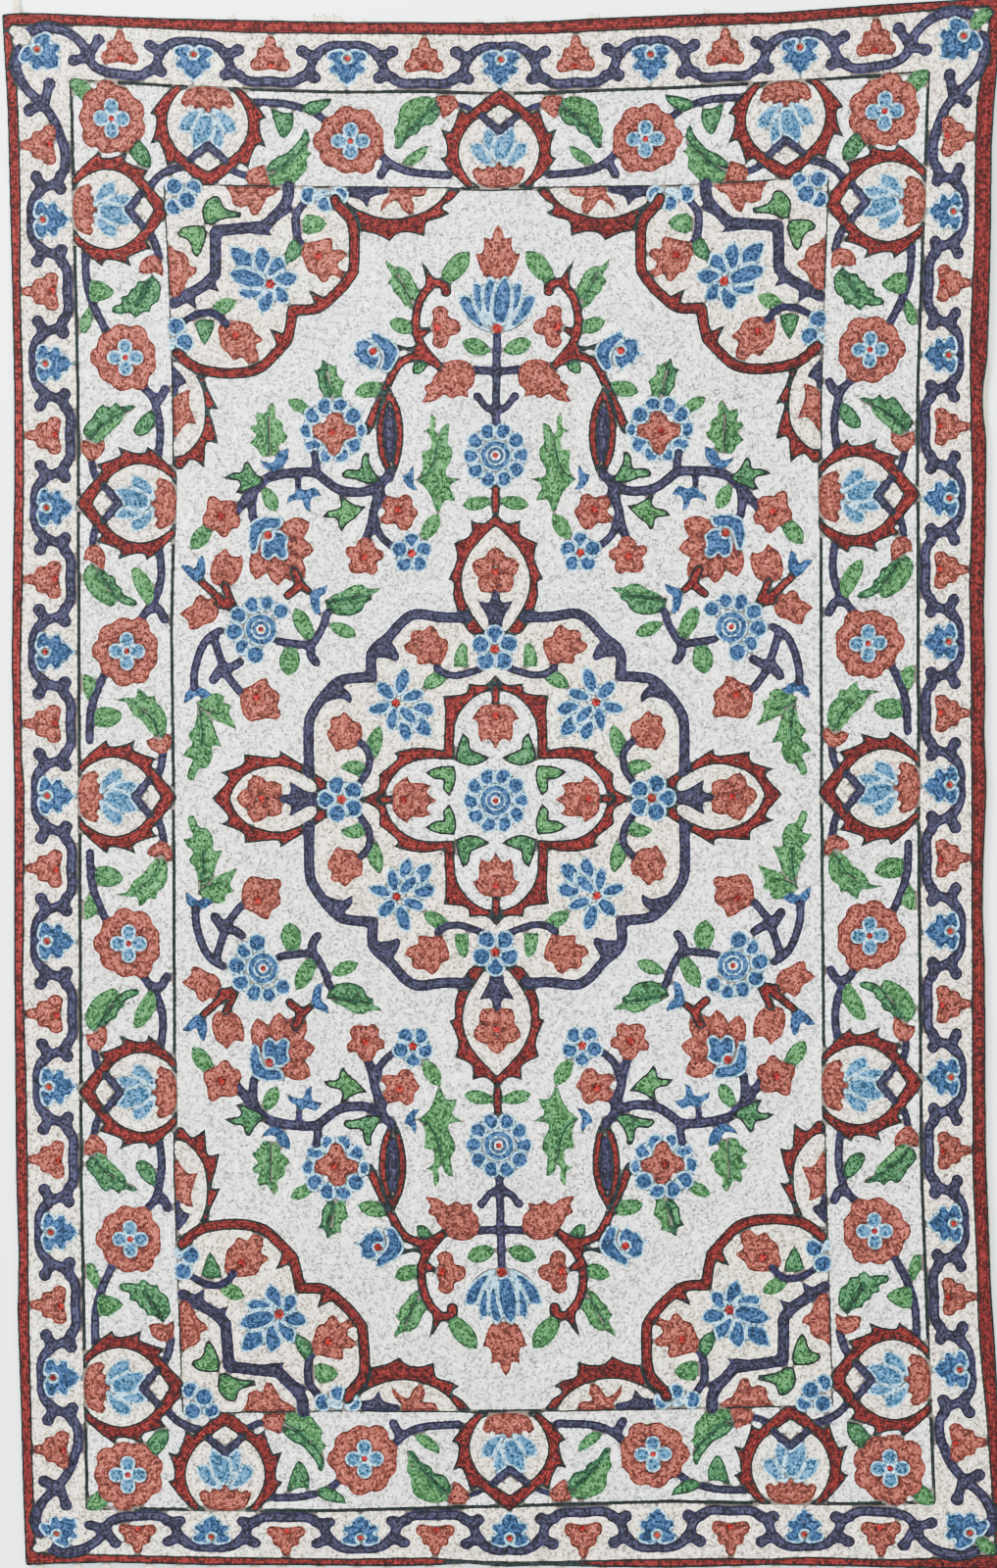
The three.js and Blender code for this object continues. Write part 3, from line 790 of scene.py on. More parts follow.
def spandrels():
    ground = [
        (178, 190, 1), (345, 190, 1), (345, 205, 1), (360, 215), (363, 235), (363, 275, 1),
        (355, 285), (340, 300), (325, 315), (300, 315, 1), (296, 345, 1), (280, 362), (265, 375),
        (235, 380), (205, 378), (178, 362, 1),
    ]
    fill(ground, ["beige"], QUARTERS)
    top_palmette()
    left_palmette()
    for centre, radius in (((187, 191), 9.5), ((206, 192), 9), ((186, 212), 9.5), ((199, 205), 10)):
        fill(disc(centre, radius, 10), BLUE, QUARTERS)
    hooked_leaf([(215, 229, 1), (213, 216), (217, 206), (225, 200), (232, 201), (235, 210),
                 (242, 214), (253, 216, 1), (252, 222, 1), (240, 223), (229, 226), (223, 230, 1)])
    hooked_leaf([(187, 238, 1), (194, 232), (206, 230), (216, 231, 1), (217, 239), (215, 248),
                 (211, 258), (206, 264, 1), (202, 259), (200, 250), (196, 245), (189, 243, 1)],
                rows=["dark", "leaf"])
    stitch([
        bar([(300, 189), (299, 202), (292, 213), (284, 221), (276, 230, 1), (250, 233),
             (226, 236, 1), (225, 260), (224, 280, 1), (213, 291), (200, 299), (182, 310)], 12.5),
        body([(294, 206, 1), (306, 212, 1), (292, 221)]), body([(272, 231), (285, 240, 1), (262, 238)]),
        body([(218, 280), (229, 299, 1), (212, 292)]), body([(200, 296), (205, 317, 1), (190, 306)]),
    ], OUTLINED_VIOLET, QUARTERS)
    fill([(236, 190, 1), (242, 198), (244, 209, 1), (253, 212), (259, 208, 1), (262, 219),
          (269, 219, 1), (274, 210), (279, 201), (286, 198), (294, 190, 1)], SALMON, QUARTERS)
    fill([(178, 247, 1), (184, 255), (193, 258), (198, 264), (198, 271, 1), (206, 274),
          (204, 280), (197, 285), (193, 293), (186, 304, 1), (178, 304, 1)], SALMON, QUARTERS)
    for tip, width in (
        ((238, 250), 22), ((269, 248), 20), ((293, 258), 18), ((309, 280), 18), ((298, 309), 17),
        ((270, 321), 18), ((245, 301), 19), ((236, 278), 20),
    ):
        oval((278, 289), tip, width, BLUE)
    fill(disc((279, 289), 4.8, 9), ["bright red"], QUARTERS)
    stem([(315, 206), (307, 218), (306, 232), (309, 245), (316, 254)], 9)
    for centre, radius in (((320, 198), 9.5), ((335, 201), 10), ((336, 207), 9), ((350, 198), 9.5)):
        fill(disc(centre, radius, 10), BLUE, QUARTERS)
    fill([(313, 223, 1), (317, 217, 1), (330, 219), (338, 227, 1), (331, 235), (318, 239, 1),
          (313, 236, 1)], MID_LEAF, QUARTERS)
    fill([(304, 241, 1), (312, 251), (307, 263), (296, 269, 1), (294, 262), (297, 250)],
         DEEP_LEAF, QUARTERS)
    fill([(311, 257), (314, 247, 1), (327, 244), (341, 241), (343, 248), (341, 254, 1), (352, 253),
          (356, 260), (348, 267, 1), (348, 272, 1), (356, 277), (352, 283), (340, 279, 1),
          (337, 286), (331, 287), (325, 279, 1), (318, 277), (314, 268)], SALMON, QUARTERS)
    fill(disc((328, 260), 3.8, 8), ["bright red"], QUARTERS)
    fill([(225, 334), (233, 328), (246, 327), (258, 330), (262, 338, 1), (271, 346), (262, 352, 1),
          (266, 361), (263, 369), (254, 370), (249, 364, 1), (240, 368), (235, 361, 1), (228, 355),
          (226, 345)], SALMON, QUARTERS)
    fill(disc((243, 342), 3.8, 8), ["bright red"], QUARTERS)
    oval((218, 319), (245, 306), 16, LIGHT_LEAF)
    stem([(192, 328), (204, 321), (217, 319), (227, 323), (234, 331)], 8, ["night"])
    fill([(201, 330, 1), (209, 326), (222, 327, 1), (221, 336), (215, 348), (211, 354, 1),
          (206, 345)], DEEP_LEAF, QUARTERS)
    for centre, radius in (((183, 334), 10), ((184, 354), 10), ((191, 350), 10)):
        fill(disc(centre, radius, 10), BLUE, QUARTERS)
    cusped = [
        (346, 202), (349, 209), (359, 219), (364, 234), (364, 262), (363, 276, 1), (353, 290),
        (341, 302), (325, 314), (301, 315, 1), (299, 330), (295, 347, 1), (282, 361), (265, 376),
        (238, 381), (208, 378), (194, 371), (183, 361),
    ]
    stitch([
        bar(cusped, 12),
        body([(337, 306), (331, 301), (322, 296), (317, 294, 1), (320, 302), (324, 310), (330, 315)]),
        body([(299, 349), (292, 341), (284, 336), (276, 334, 1), (281, 343), (284, 352), (287, 360)]),
    ], OUTLINED_RED, QUARTERS)


def top_palmette():
    fill([(347, 190, 1), (472, 190, 1), (462, 202), (452, 209), (461, 215, 1), (449, 221),
          (437, 225), (435, 240, 1), (422, 236), (408, 237), (400, 245, 1), (386, 238), (366, 233),
          (352, 222), (342, 208, 1)], OUTLINED_RED, QUARTERS)
    fill([(352, 190, 1), (458, 190, 1), (447, 204), (432, 214), (412, 220), (392, 220),
          (374, 214), (360, 206)], ["beige"], QUARTERS)
    fill([(352, 190, 1), (400, 190, 1), (396, 196), (382, 200), (378, 211, 1), (370, 202),
          (358, 199)], OUTLINED_VIOLET, QUARTERS)
    fill([(398, 190, 1), (438, 190, 1), (434, 198), (420, 199, 1), (425, 207), (422, 217, 1),
          (414, 214), (407, 202, 1), (398, 207), (390, 217, 1), (392, 205), (400, 196)],
         SALMON, QUARTERS)


def left_palmette():
    fill([(178, 478, 1), (178, 362, 1), (206, 378), (214, 398), (225, 419, 1), (215, 418),
          (220, 436), (224, 454, 1), (212, 452), (210, 466), (209, 479, 1), (196, 470), (186, 480)],
         OUTLINED_RED, QUARTERS)
    fill([(178, 466, 1), (178, 370, 1), (194, 376), (204, 390), (209, 410), (208, 436), (200, 452),
          (188, 464)], ["beige"], QUARTERS)
    fill([(178, 372, 1), (192, 390), (184, 396), (180, 410), (178, 412, 1)], OUTLINED_VIOLET,
         QUARTERS)
    fill([(178, 408, 1), (188, 400), (196, 398, 1), (194, 412), (202, 434, 1), (190, 434),
          (178, 452, 1)], SALMON, QUARTERS)


def hooked_leaf(points, rows=("dark", "green", "leaf")):
    fill(points, rows, QUARTERS)


def both_sides(points):
    """A course and its mirror on the other side of the rug's middle."""
    return [points, mirrored(points, True, False)]


def field_sprays():
    """The flowering stems between the corners and the medallion."""
    middle_stem = [bar([(508, 338), (508, 375), (508, 432)], 9),
                   bar([(480, 374), (508, 376), (536, 374)], 9)]
    for course in (*both_sides([(508, 418), (497, 412), (490, 402)]), ):
        middle_stem.append(bar(course, 8))
    for knob in both_sides([(489, 402)]):
        middle_stem.append(body(disc(knob[0], 5)))
    stitch(middle_stem, OUTLINED_VIOLET, TOP_BOTTOM)
    fill([(508, 225, 1), (513, 233), (514, 241, 1), (523, 238, 1), (522, 247), (524, 255, 1),
          (531, 256, 1), (527, 268), (522, 279, 1), (508, 281), (494, 279, 1), (489, 268),
          (485, 256, 1), (492, 255, 1), (494, 247), (493, 238, 1), (502, 241, 1), (503, 233)],
         SALMON, TOP_BOTTOM)
    for tip, width in (((474, 312), 17), ((468, 297), 21), ((484, 282), 19), ((500, 277), 20)):
        for way in both_sides([(507, 336), tip]):
            oval(way[0], way[1], width, BLUE, TOP_BOTTOM)
    fill(disc((508, 332), 5, 9), ["bright red"], TOP_BOTTOM)
    for base, tip, width, rows in (
        ((451, 288), (480, 253), 21, MID_LEAF), ((426, 336), (398, 326), 17, MID_LEAF),
        ((502, 356), (472, 346), 18, MID_LEAF), ((396, 392), (362, 400), 17, MID_LEAF),
        ((320, 420), (294, 407), 14, MID_LEAF), ((505, 508), (473, 514), 15, MID_LEAF),
        ((217, 534), (196, 562), 18, MID_LEAF), ((270, 496), (283, 522), 16, MID_LEAF),
        ((450, 522), (433, 549), 17, LIGHT_LEAF), ((321, 654), (303, 619), 18, MID_LEAF),
        ((338, 636), (367, 648), 15, MID_LEAF), ((300, 657), (296, 690), 22, MID_LEAF),
        ((438, 364), (422, 380), 13, DEEP_LEAF),
    ):
        oval(base, tip, width, rows)
    split_leaf(
        [(427, 316, 1), (420, 313), (413, 309, 1), (408, 301), (402, 296), (402, 290, 1),
         (397, 287), (402, 280, 1), (396, 270), (395, 262, 1), (401, 268), (407, 274)],
        [(407, 274), (412, 270, 1), (420, 276), (425, 286), (430, 296), (429, 306), (427, 316, 1)],
        [(424, 310), (416, 296), (406, 279)], MID_LEAF, MID_LEAF)
    split_leaf(
        [(343, 414, 1), (333, 404), (326, 395, 1), (325, 383), (321, 377, 1), (328, 374), (330, 365, 1),
         (336, 372)],
        [(336, 372), (342, 372), (346, 371, 1), (346, 381), (354, 388, 1), (351, 398), (350, 408),
         (343, 414, 1)],
        [(342, 408), (337, 392), (332, 376)], DEEP_LEAF, MID_LEAF)
    split_leaf(
        [(277, 466, 1), (267, 465), (263, 458), (255, 452, 1), (260, 447), (263, 443, 1), (256, 438),
         (258, 433, 1), (264, 433), (261, 426), (263, 419, 1), (271, 421), (277, 413)],
        [(277, 413), (283, 416), (282, 424), (290, 431), (290, 438), (295, 444), (291, 451),
         (286, 453), (285, 460), (277, 466, 1)],
        [(275, 464), (275, 446), (274, 426)], MID_LEAF, LIGHT_LEAF)
    split_leaf(
        [(333, 613, 1), (342, 606), (352, 602), (362, 596), (371, 595), (379, 599), (391, 598, 1),
         (388, 603), (379, 606), (360, 609)],
        [(333, 613, 1), (345, 611), (362, 608), (379, 606), (382, 611), (375, 615), (372, 622),
         (363, 627), (350, 628), (339, 623)],
        [(334, 612), (348, 610), (368, 607)], MID_LEAF, DEEP_LEAF)
    split_leaf(
        [(426, 488, 1), (432, 479), (433, 470), (432, 458), (440, 457), (442, 448), (439, 441),
         (432, 438, 1), (440, 434), (440, 426), (442, 418, 1), (447, 426), (446, 437), (450, 446),
         (446, 466), (438, 482)],
        [(426, 488, 1), (438, 482), (446, 466), (450, 446), (451, 436), (455, 431), (461, 429, 1),
         (460, 442), (459, 450), (464, 457), (463, 467), (458, 476), (459, 484), (475, 486, 1),
         (466, 490), (461, 495), (465, 502), (467, 510, 1), (456, 509), (451, 520, 1), (446, 519),
         (443, 509), (437, 498)],
        [(427, 488), (438, 481), (445, 467), (448, 450)], LIGHT_LEAF, MID_LEAF)
    fill([(201, 717, 1), (213, 712), (223, 707), (231, 711), (230, 717, 1), (239, 720), (236, 727),
          (241, 738), (244, 745, 1), (232, 740), (222, 736), (212, 728)], LIGHT_LEAF, QUARTERS)
    line([(203, 719), (214, 726), (226, 729)], ["forest"], QUARTERS)
    fill([(203, 720, 1), (211, 727), (219, 738), (223, 750), (229, 763, 1), (218, 762),
          (219, 772), (213, 784), (204, 786), (199, 797), (192, 795), (194, 784), (198, 776),
          (187, 773, 1), (192, 765), (198, 760), (193, 751), (199, 744), (202, 733)],
         MID_LEAF, QUARTERS)
    line([(205, 722), (208, 742), (208, 760)], ["forest"], QUARTERS)
    stitch([
        bar([(376, 438), (384, 418), (394, 398), (402, 380), (412, 367), (432, 362), (454, 374)], 10),
        bar([(446, 368), (434, 354), (427, 340), (426, 322), (430, 305), (438, 292), (448, 286),
             (457, 291)], 10),
        body(disc((456, 295), 6)),
        body([(432, 304), (435, 284), (430, 262, 1), (441, 276), (446, 290)]),
        body([(426, 334), (446, 330, 1), (434, 342)]),
        body([(404, 348, 1), (418, 352), (430, 350), (434, 358), (416, 356), (404, 357, 1)]),
    ], OUTLINED_RED, QUARTERS)
    fill([(399, 392, 1), (410, 415), (414, 440), (411, 466), (402, 492, 1), (389, 468),
          (385, 440), (389, 415)], OUTLINED_RED, QUARTERS)
    fill([(399, 408, 1), (404, 428), (405, 448), (401, 476, 1), (395, 456), (394, 430)],
         OUTLINED_VIOLET, QUARTERS)
    fill([(443, 322), (442, 314), (450, 309), (458, 313), (459, 321, 1), (468, 324), (472, 332),
          (468, 339), (460, 340, 1), (458, 350), (450, 354), (442, 349), (444, 340, 1), (440, 332)],
         SALMON, QUARTERS)
    fill(disc((447, 332), 4, 8), ["bright red"], QUARTERS)
    fill([(452, 374), (456, 367), (468, 364), (480, 367), (486, 378), (485, 390), (478, 396, 1),
          (480, 403), (470, 401, 1), (463, 405), (455, 400, 1), (446, 407), (432, 409), (437, 400, 1),
          (434, 392), (442, 388, 1), (444, 381)], SALMON, QUARTERS)
    fill([(378, 346, 1), (380, 334, 1), (392, 340), (403, 347), (409, 358), (404, 370), (398, 378),
          (388, 377, 1), (392, 362), (386, 352)], BLUE, QUARTERS)
    fill([(356, 362, 1), (364, 356, 1), (364, 347), (374, 343, 1), (380, 346), (388, 354),
          (390, 364), (387, 372), (380, 379, 1), (374, 372), (366, 372, 1), (366, 365)],
         BLUE, QUARTERS)
    fill(disc((382, 357), 4.2, 8), ["bright red"], QUARTERS)
    daisy((341, 438), 25.5, 10, 9.6, 8, QUARTERS, ringed=False)
    fill([(338, 421), (349, 420), (352, 431, 1), (363, 434), (364, 444), (351, 449, 1), (348, 461),
          (338, 463), (333, 451, 1), (322, 445), (320, 435), (332, 430, 1)], SALMON, QUARTERS)
    fill(disc((340, 440), 3.4, 8), ["bright red"], QUARTERS)
    daisy((508, 462), 25.5, 10, 9.2, 16.5, TOP_BOTTOM)
    left_vine()
    lower_vine()


def left_vine():
    forked([
        ([(241, 522), (252, 509), (262, 497), (272, 488), (286, 484), (305, 481), (323, 482),
          (334, 490), (346, 498), (362, 501), (376, 500), (390, 492), (399, 483)], 10.5),
        ([(325, 483), (322, 462)], 8.5), ([(260, 500), (258, 514), (259, 528)], 9.5),
        ([(392, 488), (388, 502), (383, 520), (380, 536), (375, 550)], 10),
        ([(383, 526), (390, 545), (403, 557)], 8.5), ([(390, 500), (394, 514)], 9),
        ([(305, 484), (305, 498)], 7),
    ])
    hooked_leaf([(272, 487, 1), (265, 485), (259, 478), (254, 470), (249, 473), (247, 481),
                 (238, 482), (227, 488, 1), (234, 490), (243, 491), (245, 495), (240, 503, 1),
                 (246, 504), (254, 500), (265, 495)], rows=["dark", "green"])
    hooked_leaf([(391, 489, 1), (384, 480), (379, 470), (379, 461, 1), (374, 460), (370, 466),
                 (368, 477), (356, 477), (349, 482, 1), (352, 487), (362, 488), (374, 492),
                 (386, 492)], rows=["dark", "green"])
    hooked_leaf([(376, 515, 1), (366, 514), (356, 509), (350, 503, 1), (347, 506), (349, 514),
                 (345, 518), (336, 520), (329, 527, 1), (337, 528), (345, 529), (347, 538),
                 (351, 542, 1), (356, 534), (364, 528)], rows=["dark", "leaf"])
    for crescent in (
        [(264, 468, 1), (273, 471), (280, 470), (285, 461), (296, 456, 1), (295, 468), (288, 477),
         (279, 480), (271, 477)],
        [(293, 514, 1), (295, 506), (302, 502), (304, 497), (313, 499), (322, 496), (330, 505, 1),
         (320, 507), (318, 514), (319, 523, 1), (312, 518), (309, 510), (301, 510)],
        [(412, 483, 1), (418, 481), (423, 471, 1), (425, 481), (423, 489), (429, 499, 1),
         (421, 498), (414, 491)],
        [(185, 578, 1), (194, 577), (200, 581), (204, 570), (209, 567, 1), (212, 580), (209, 592),
         (202, 595), (194, 589)],
        [(318, 608, 1), (322, 601), (330, 598), (337, 595, 1), (335, 604), (329, 609), (329, 617),
         (330, 628, 1), (323, 625), (319, 616)],
        [(189, 720, 1), (191, 708), (199, 702), (209, 702), (219, 709, 1), (210, 714), (203, 711),
         (196, 716)],
    ):
        fill(crescent, ["blue"], QUARTERS)
    for points, eye in (
        ([(211, 514, 1), (213, 507), (219, 506), (226, 511, 1), (237, 510), (243, 516), (241, 523, 1),
          (247, 530), (244, 539), (237, 540, 1), (234, 547), (228, 549), (221, 542, 1), (215, 540),
          (208, 536), (207, 528), (211, 521, 1)], (226, 527)),
        ([(396, 505), (403, 505), (407, 507, 1), (415, 502), (422, 506), (423, 514, 1), (429, 521),
          (424, 530), (421, 537), (411, 540), (405, 533, 1), (395, 534), (389, 528), (395, 521, 1),
          (391, 513)], (408, 519)),
        ([(367, 550), (377, 547), (384, 553), (385, 558, 1), (393, 561), (393, 569), (386, 572, 1),
          (388, 580), (382, 586), (375, 583, 1), (368, 585), (360, 583), (357, 576), (360, 570, 1),
          (354, 564), (356, 556), (365, 557, 1)], (373, 567)),
        ([(260, 698), (267, 693), (275, 691, 1), (278, 700), (286, 706), (288, 713), (285, 720, 1),
          (289, 728), (285, 734), (275, 733, 1), (266, 735), (256, 736), (249, 728, 1), (247, 719),
          (247, 710), (251, 702, 1)], (264, 711)),
    ):
        fill(points, SALMON, QUARTERS)
        fill(disc(eye, 3.6, 8), ["bright red"], QUARTERS)
    fill([(217, 577), (221, 567, 1), (227, 563), (232, 558, 1), (236, 565), (242, 568),
          (249, 566, 1), (250, 576), (247, 588), (241, 596), (230, 599), (220, 596), (216, 588)],
         SALMON, QUARTERS)
    fill([(185, 627, 1), (193, 621), (199, 618, 1), (202, 610), (208, 607), (214, 612, 1),
          (222, 610), (223, 618), (226, 626), (221, 635), (212, 638), (204, 643), (196, 643),
          (195, 635, 1), (190, 631)], SALMON, QUARTERS)
    for number in range(5):
        a = math.radians(72 * number - 90)
        fill(disc((422 + 13 * math.cos(a), 563 + 13 * math.sin(a)), 9.2, 10), BLUE, QUARTERS)
    fill(disc((422, 563), 4.2, 9), ["bright red"], QUARTERS)
    for base, tip, width in (((284, 548), (318, 532), 24), ((284, 556), (323, 561), 22),
                             ((284, 562), (313, 592), 26), ((282, 562), (286, 598), 19),
                             ((270, 552), (263, 592), 21)):
        oval(base, tip, width, SALMON)
    fill([(257, 565, 1), (254, 550), (256, 535), (263, 529), (274, 526), (291, 527, 1),
          (288, 537), (280, 541), (270, 543), (266, 552), (264, 564, 1)], BLUE, QUARTERS)
    fill([(269, 548, 1), (272, 541), (288, 541, 1), (296, 548), (294, 556), (296, 567), (289, 571),
          (282, 566, 1), (276, 571), (269, 567), (268, 557)], BLUE, QUARTERS)
    fill(disc((275, 546), 4.4, 9), ["bright red"], QUARTERS)


def lower_vine():
    forked([([(302, 582), (307, 596), (296, 607)], 10), ([(305, 592), (316, 602)], 9)],
           OUTLINED_RED)
    forked([([(208, 595), (223, 608), (236, 619)], 9), ([(231, 598), (237, 610), (241, 620)], 9),
            ([(226, 617), (241, 620)], 9)], OUTLINED_RED)
    for place, radius in (((260, 617), 9.5), ((275, 615), 8.5), ((289, 623), 9), ((246, 628), 9.5),
                          ((242, 645), 10), ((250, 660), 9), ((263, 668), 10)):
        fill(disc(place, radius, 10), BLUE, QUARTERS)
    daisy((269, 642), 0, 0, 0, 17, QUARTERS)
    forked([([(286, 654), (303, 656), (320, 657), (330, 643), (337, 624)], 8.5),
            ([(320, 656), (320, 668), (325, 675)], 10)])
    forked([([(200, 702), (201, 685), (207, 665), (215, 652), (227, 644)], 9),
            ([(221, 650), (225, 665), (230, 680)], 9), ([(228, 682), (238, 681), (247, 676)], 10),
            ([(229, 681), (220, 694)], 11), ([(228, 682), (236, 692), (246, 705)], 9)])


def medallion():
    ground = halves([
        (0, -187, 1), (33, -187), (78, -190), (93, -183), (108, -167), (126, -150), (126, -125, 1),
        (158, -122), (173, -108), (186, -90), (191, -75), (191, 0),
    ])
    whole = [*ground[:12], *[(q[0], -q[1], *q[2:]) for q in reversed(ground[:11])]]
    whole = [*whole, *[(-q[0], *q[1:]) for q in reversed(whole[1:-1])]]
    fill(turned(whole, MIDDLE), ["beige"])
    top_apex()
    side_apex()
    stitch([
        bar([(477, 628), (452, 628), (428, 625), (414, 632), (400, 648), (382, 665),
             (382, 690, 1), (364, 691), (349, 694), (335, 707), (322, 725), (317, 741),
             (317, 788)], 11.5),
        body([(394, 650), (404, 656), (410, 668), (407, 674), (399, 671), (386, 668)]),
        body([(340, 698), (354, 701), (361, 709), (360, 717), (350, 712), (332, 716)]),
    ], OUTLINED_VIOLET, QUARTERS)
    fill([(414, 657), (422, 652, 1), (421, 646), (426, 641), (434, 642, 1), (442, 636), (449, 642),
          (450, 648, 1), (459, 651), (460, 659), (457, 668), (451, 678), (442, 675, 1), (432, 677),
          (427, 674), (429, 668, 1), (419, 665)], SALMON, QUARTERS)
    fill([(335, 747), (340, 740, 1), (338, 734), (343, 730), (348, 731, 1), (353, 725), (359, 730),
          (363, 735, 1), (370, 737), (372, 747), (368, 758), (360, 764), (351, 764, 1), (345, 767),
          (342, 762), (338, 756, 1)], SALMON, QUARTERS)
    for base, tip, width in (
        ((407, 710), (418, 678), 16), ((410, 713), (437, 704), 14), ((406, 714), (386, 694), 16),
        ((406, 718), (375, 725), 14), ((405, 718), (400, 747), 14), ((420, 722), (448, 723), 18),
        ((412, 730), (419, 757), 16), ((420, 726), (443, 751), 18), ((408, 718), (428, 738), 14),
    ):
        oval(base, tip, width, BLUE)
    fill(disc((406, 716), 4.2, 8), ["bright red"], QUARTERS)
    fill([(465, 679, 1), (466, 666), (471, 656), (477, 654), (480, 663), (480, 679, 1)],
         MID_LEAF, QUARTERS)
    oval((461, 684), (433, 700), 16, MID_LEAF)
    fill([(388, 739), (393, 747), (392, 760), (386, 774, 1), (379, 764), (377, 752)],
         MID_LEAF, QUARTERS)
    fill([(349, 783), (356, 776), (368, 775), (375, 782), (371, 792), (359, 788)],
         MID_LEAF, QUARTERS)
    stem([(448, 680), (458, 686), (472, 687), (494, 680)], 8)
    stem([(370, 757), (378, 768), (378, 784), (369, 798)], 8)
    cross_cartouche()


def anchor(centre, degrees, copies):
    """A violet stem that flares into two arms under a flower."""
    shape = halves([(0, -18, 1), (4, -12), (7, -4), (19, -6, 1), (12, 6), (8, 14), (7, 26, 1)])
    fill(turned(shape, centre, degrees), OUTLINED_VIOLET, copies)


def top_apex():
    fill(halves_at([
        (0, -295, 1), (12, -284), (26, -287, 1), (26, -272), (43, -263, 1), (40, -247),
        (49, -225, 1), (43, -222), (43, -205), (28, -172), (8, -170),
    ]), OUTLINED_RED, TOP_BOTTOM)
    fill(halves_at([
        (0, -281, 1), (14, -267), (27, -250), (34, -228), (31, -206), (20, -186), (8, -172),
    ]), ["beige"], TOP_BOTTOM)
    anchor((508, 616), 0, TOP_BOTTOM)
    star((508, 581), 26, 5, 21, SALMON, TOP_BOTTOM, degrees=0, eye=4)
    stem([(508, 496), (508, 519)], 9, OUTLINED_RED, TOP_BOTTOM)


def halves_at(points):
    """Half of a shape from the middle of the rug, mirrored, in the chart's own places."""
    return turned(halves(points), MIDDLE)


def side_apex():
    outer = [(217, 817, 1), (234, 795), (224, 789, 1), (248, 780), (250, 769, 1), (284, 772),
             (286, 764, 1), (314, 782), (338, 800), (330, 815)]
    inner = [(236, 817, 1), (243, 801), (258, 788), (285, 782), (308, 789), (324, 801), (318, 815)]
    for points, rows in ((outer, OUTLINED_RED), (inner, ["beige"])):
        lower = [(q[0], 1630 - q[1], *q[2:]) for q in reversed(points[1:])]
        fill([(points[0][0], 815, 1), *points[1:], *lower], rows, LEFT_RIGHT)
    anchor((302, 815), -90, LEFT_RIGHT)
    star((268, 815), 26, 5, 21, SALMON, LEFT_RIGHT, degrees=-90, eye=4)


HANGING_FLOWER = halves([
    (0, -21), (14, -20), (25, -6, 1), (18, -3), (18, 9), (15, 18, 1), (7, 14), (0, 25, 1),
])


def cross_cartouche():
    """The red cross in the middle of the medallion, with round arms and white inside."""
    outer = [
        (0, -129, 1), (11, -119), (28, -120, 1), (31, -110), (54, -107, 1), (52, -90), (53, -66),
        (53, -51, 1), (70, -54), (88, -53), (106, -48, 1), (101, -42), (120, -26, 1), (120, -12),
        (130, -5), (143, 0, 1),
    ]
    inner = [
        (0, -113, 1), (17, -108), (31, -96), (40, -80), (42, -60), (42, -41, 1), (74, -41),
        (93, -34), (105, -22), (111, -10), (113, 0),
    ]
    for points, rows in ((outer, OUTLINED_RED), (inner, ["white"])):
        below = [(q[0], -q[1], *q[2:]) for q in reversed(points[:-1])]
        right = [*points, *below]
        fill(turned([*right, *[(-q[0], *q[1:]) for q in reversed(right[1:-1])]], MIDDLE), rows)
    stem([(508, 700), (508, 718)], 9, OUTLINED_RED, TOP_BOTTOM)
    stem([(392, 815), (404, 815)], 9, OUTLINED_RED, LEFT_RIGHT)
    for degrees in range(-90, 270, 72):
        a = math.radians(degrees)
        for centre, copies in (((507, 660), TOP_BOTTOM), ((350, 815), LEFT_RIGHT)):
            turn = a if copies is TOP_BOTTOM else a - math.pi / 2
            at = (centre[0] + 15 * math.cos(turn), centre[1] + 15 * math.sin(turn))
            fill(disc(at, 10.2, 10), BLUE, copies)
    for centre, copies in (((507, 660), TOP_BOTTOM), ((350, 815), LEFT_RIGHT)):
        fill(disc(centre, 4.4, 9), ["bright red"], copies)
    daisy((508, 815), 25, 10, 9.4, 17, ONCE)
    fill(turned(HANGING_FLOWER, (508, 738)), SALMON, TOP_BOTTOM)
    fill(disc((508, 728), 3.4, 8), ["bright red"], TOP_BOTTOM)
    fill(turned(HANGING_FLOWER, (424, 815), -90), SALMON, LEFT_RIGHT)
    fill(disc((414, 815), 3.4, 8), ["bright red"], LEFT_RIGHT)
    hooked_leaf([(466, 775, 1), (469, 760), (474, 745, 1), (481, 752), (482, 762, 1), (491, 766),
                 (503, 771, 1), (494, 777), (481, 780)], rows=["dark", "green"])
    hooked_leaf([(466, 779, 1), (468, 790), (466, 801), (461, 812, 1), (454, 804), (455, 794, 1),
                 (446, 794), (435, 787, 1), (447, 781)], rows=["dark", "leaf"])


def draw():
    grounds()
    guard_border()
    border_greens()
    main_border()
    spandrels()
    field_sprays()
    medallion()


# How the cloth lies, in metres. The turned-under fringe lifts the top end.
END_LIFT = 0.0027
END_LIFT_FULL = 0.064
END_LIFT_RUNOUT = 0.040
BACKING_THICK = 0.001
CLOTH_GAP = 0.0003
FACE_THICK = 0.003
ROW_CROWN = 0.0006
BACKING_INSET = 0.003
BACKING_END_INSET = 0.007
NOMINAL_WIDTH = 0.93

# Soft ridges of the cloth: middle, turn in degrees, length, half width and height, millimetres
RIDGES = (
    (-300, -455, -49, 420, 60, 3.0),
    (-230, -672, -2, 430, 52, 2.6),
    (320, -668, 4, 300, 52, 2.0),
    (415, -390, -90, 330, 46, 2.0),
    (395, 560, 62, 190, 55, 2.0),
)
# Its sharper fold marks
FOLD_MARKS = (
    (2, -310, 90, 470, 17, 1.2),
    (9, -665, 90, 140, 18, 1.4),
    (-17, -18, 0, 460, 18, 1.0),
)


def window(q):
    return np.clip(1 - q * q, 0, 1) ** 2


def soft_step(q):
    q = np.clip(q, 0, 1)
    return q * q * (3 - 2 * q)


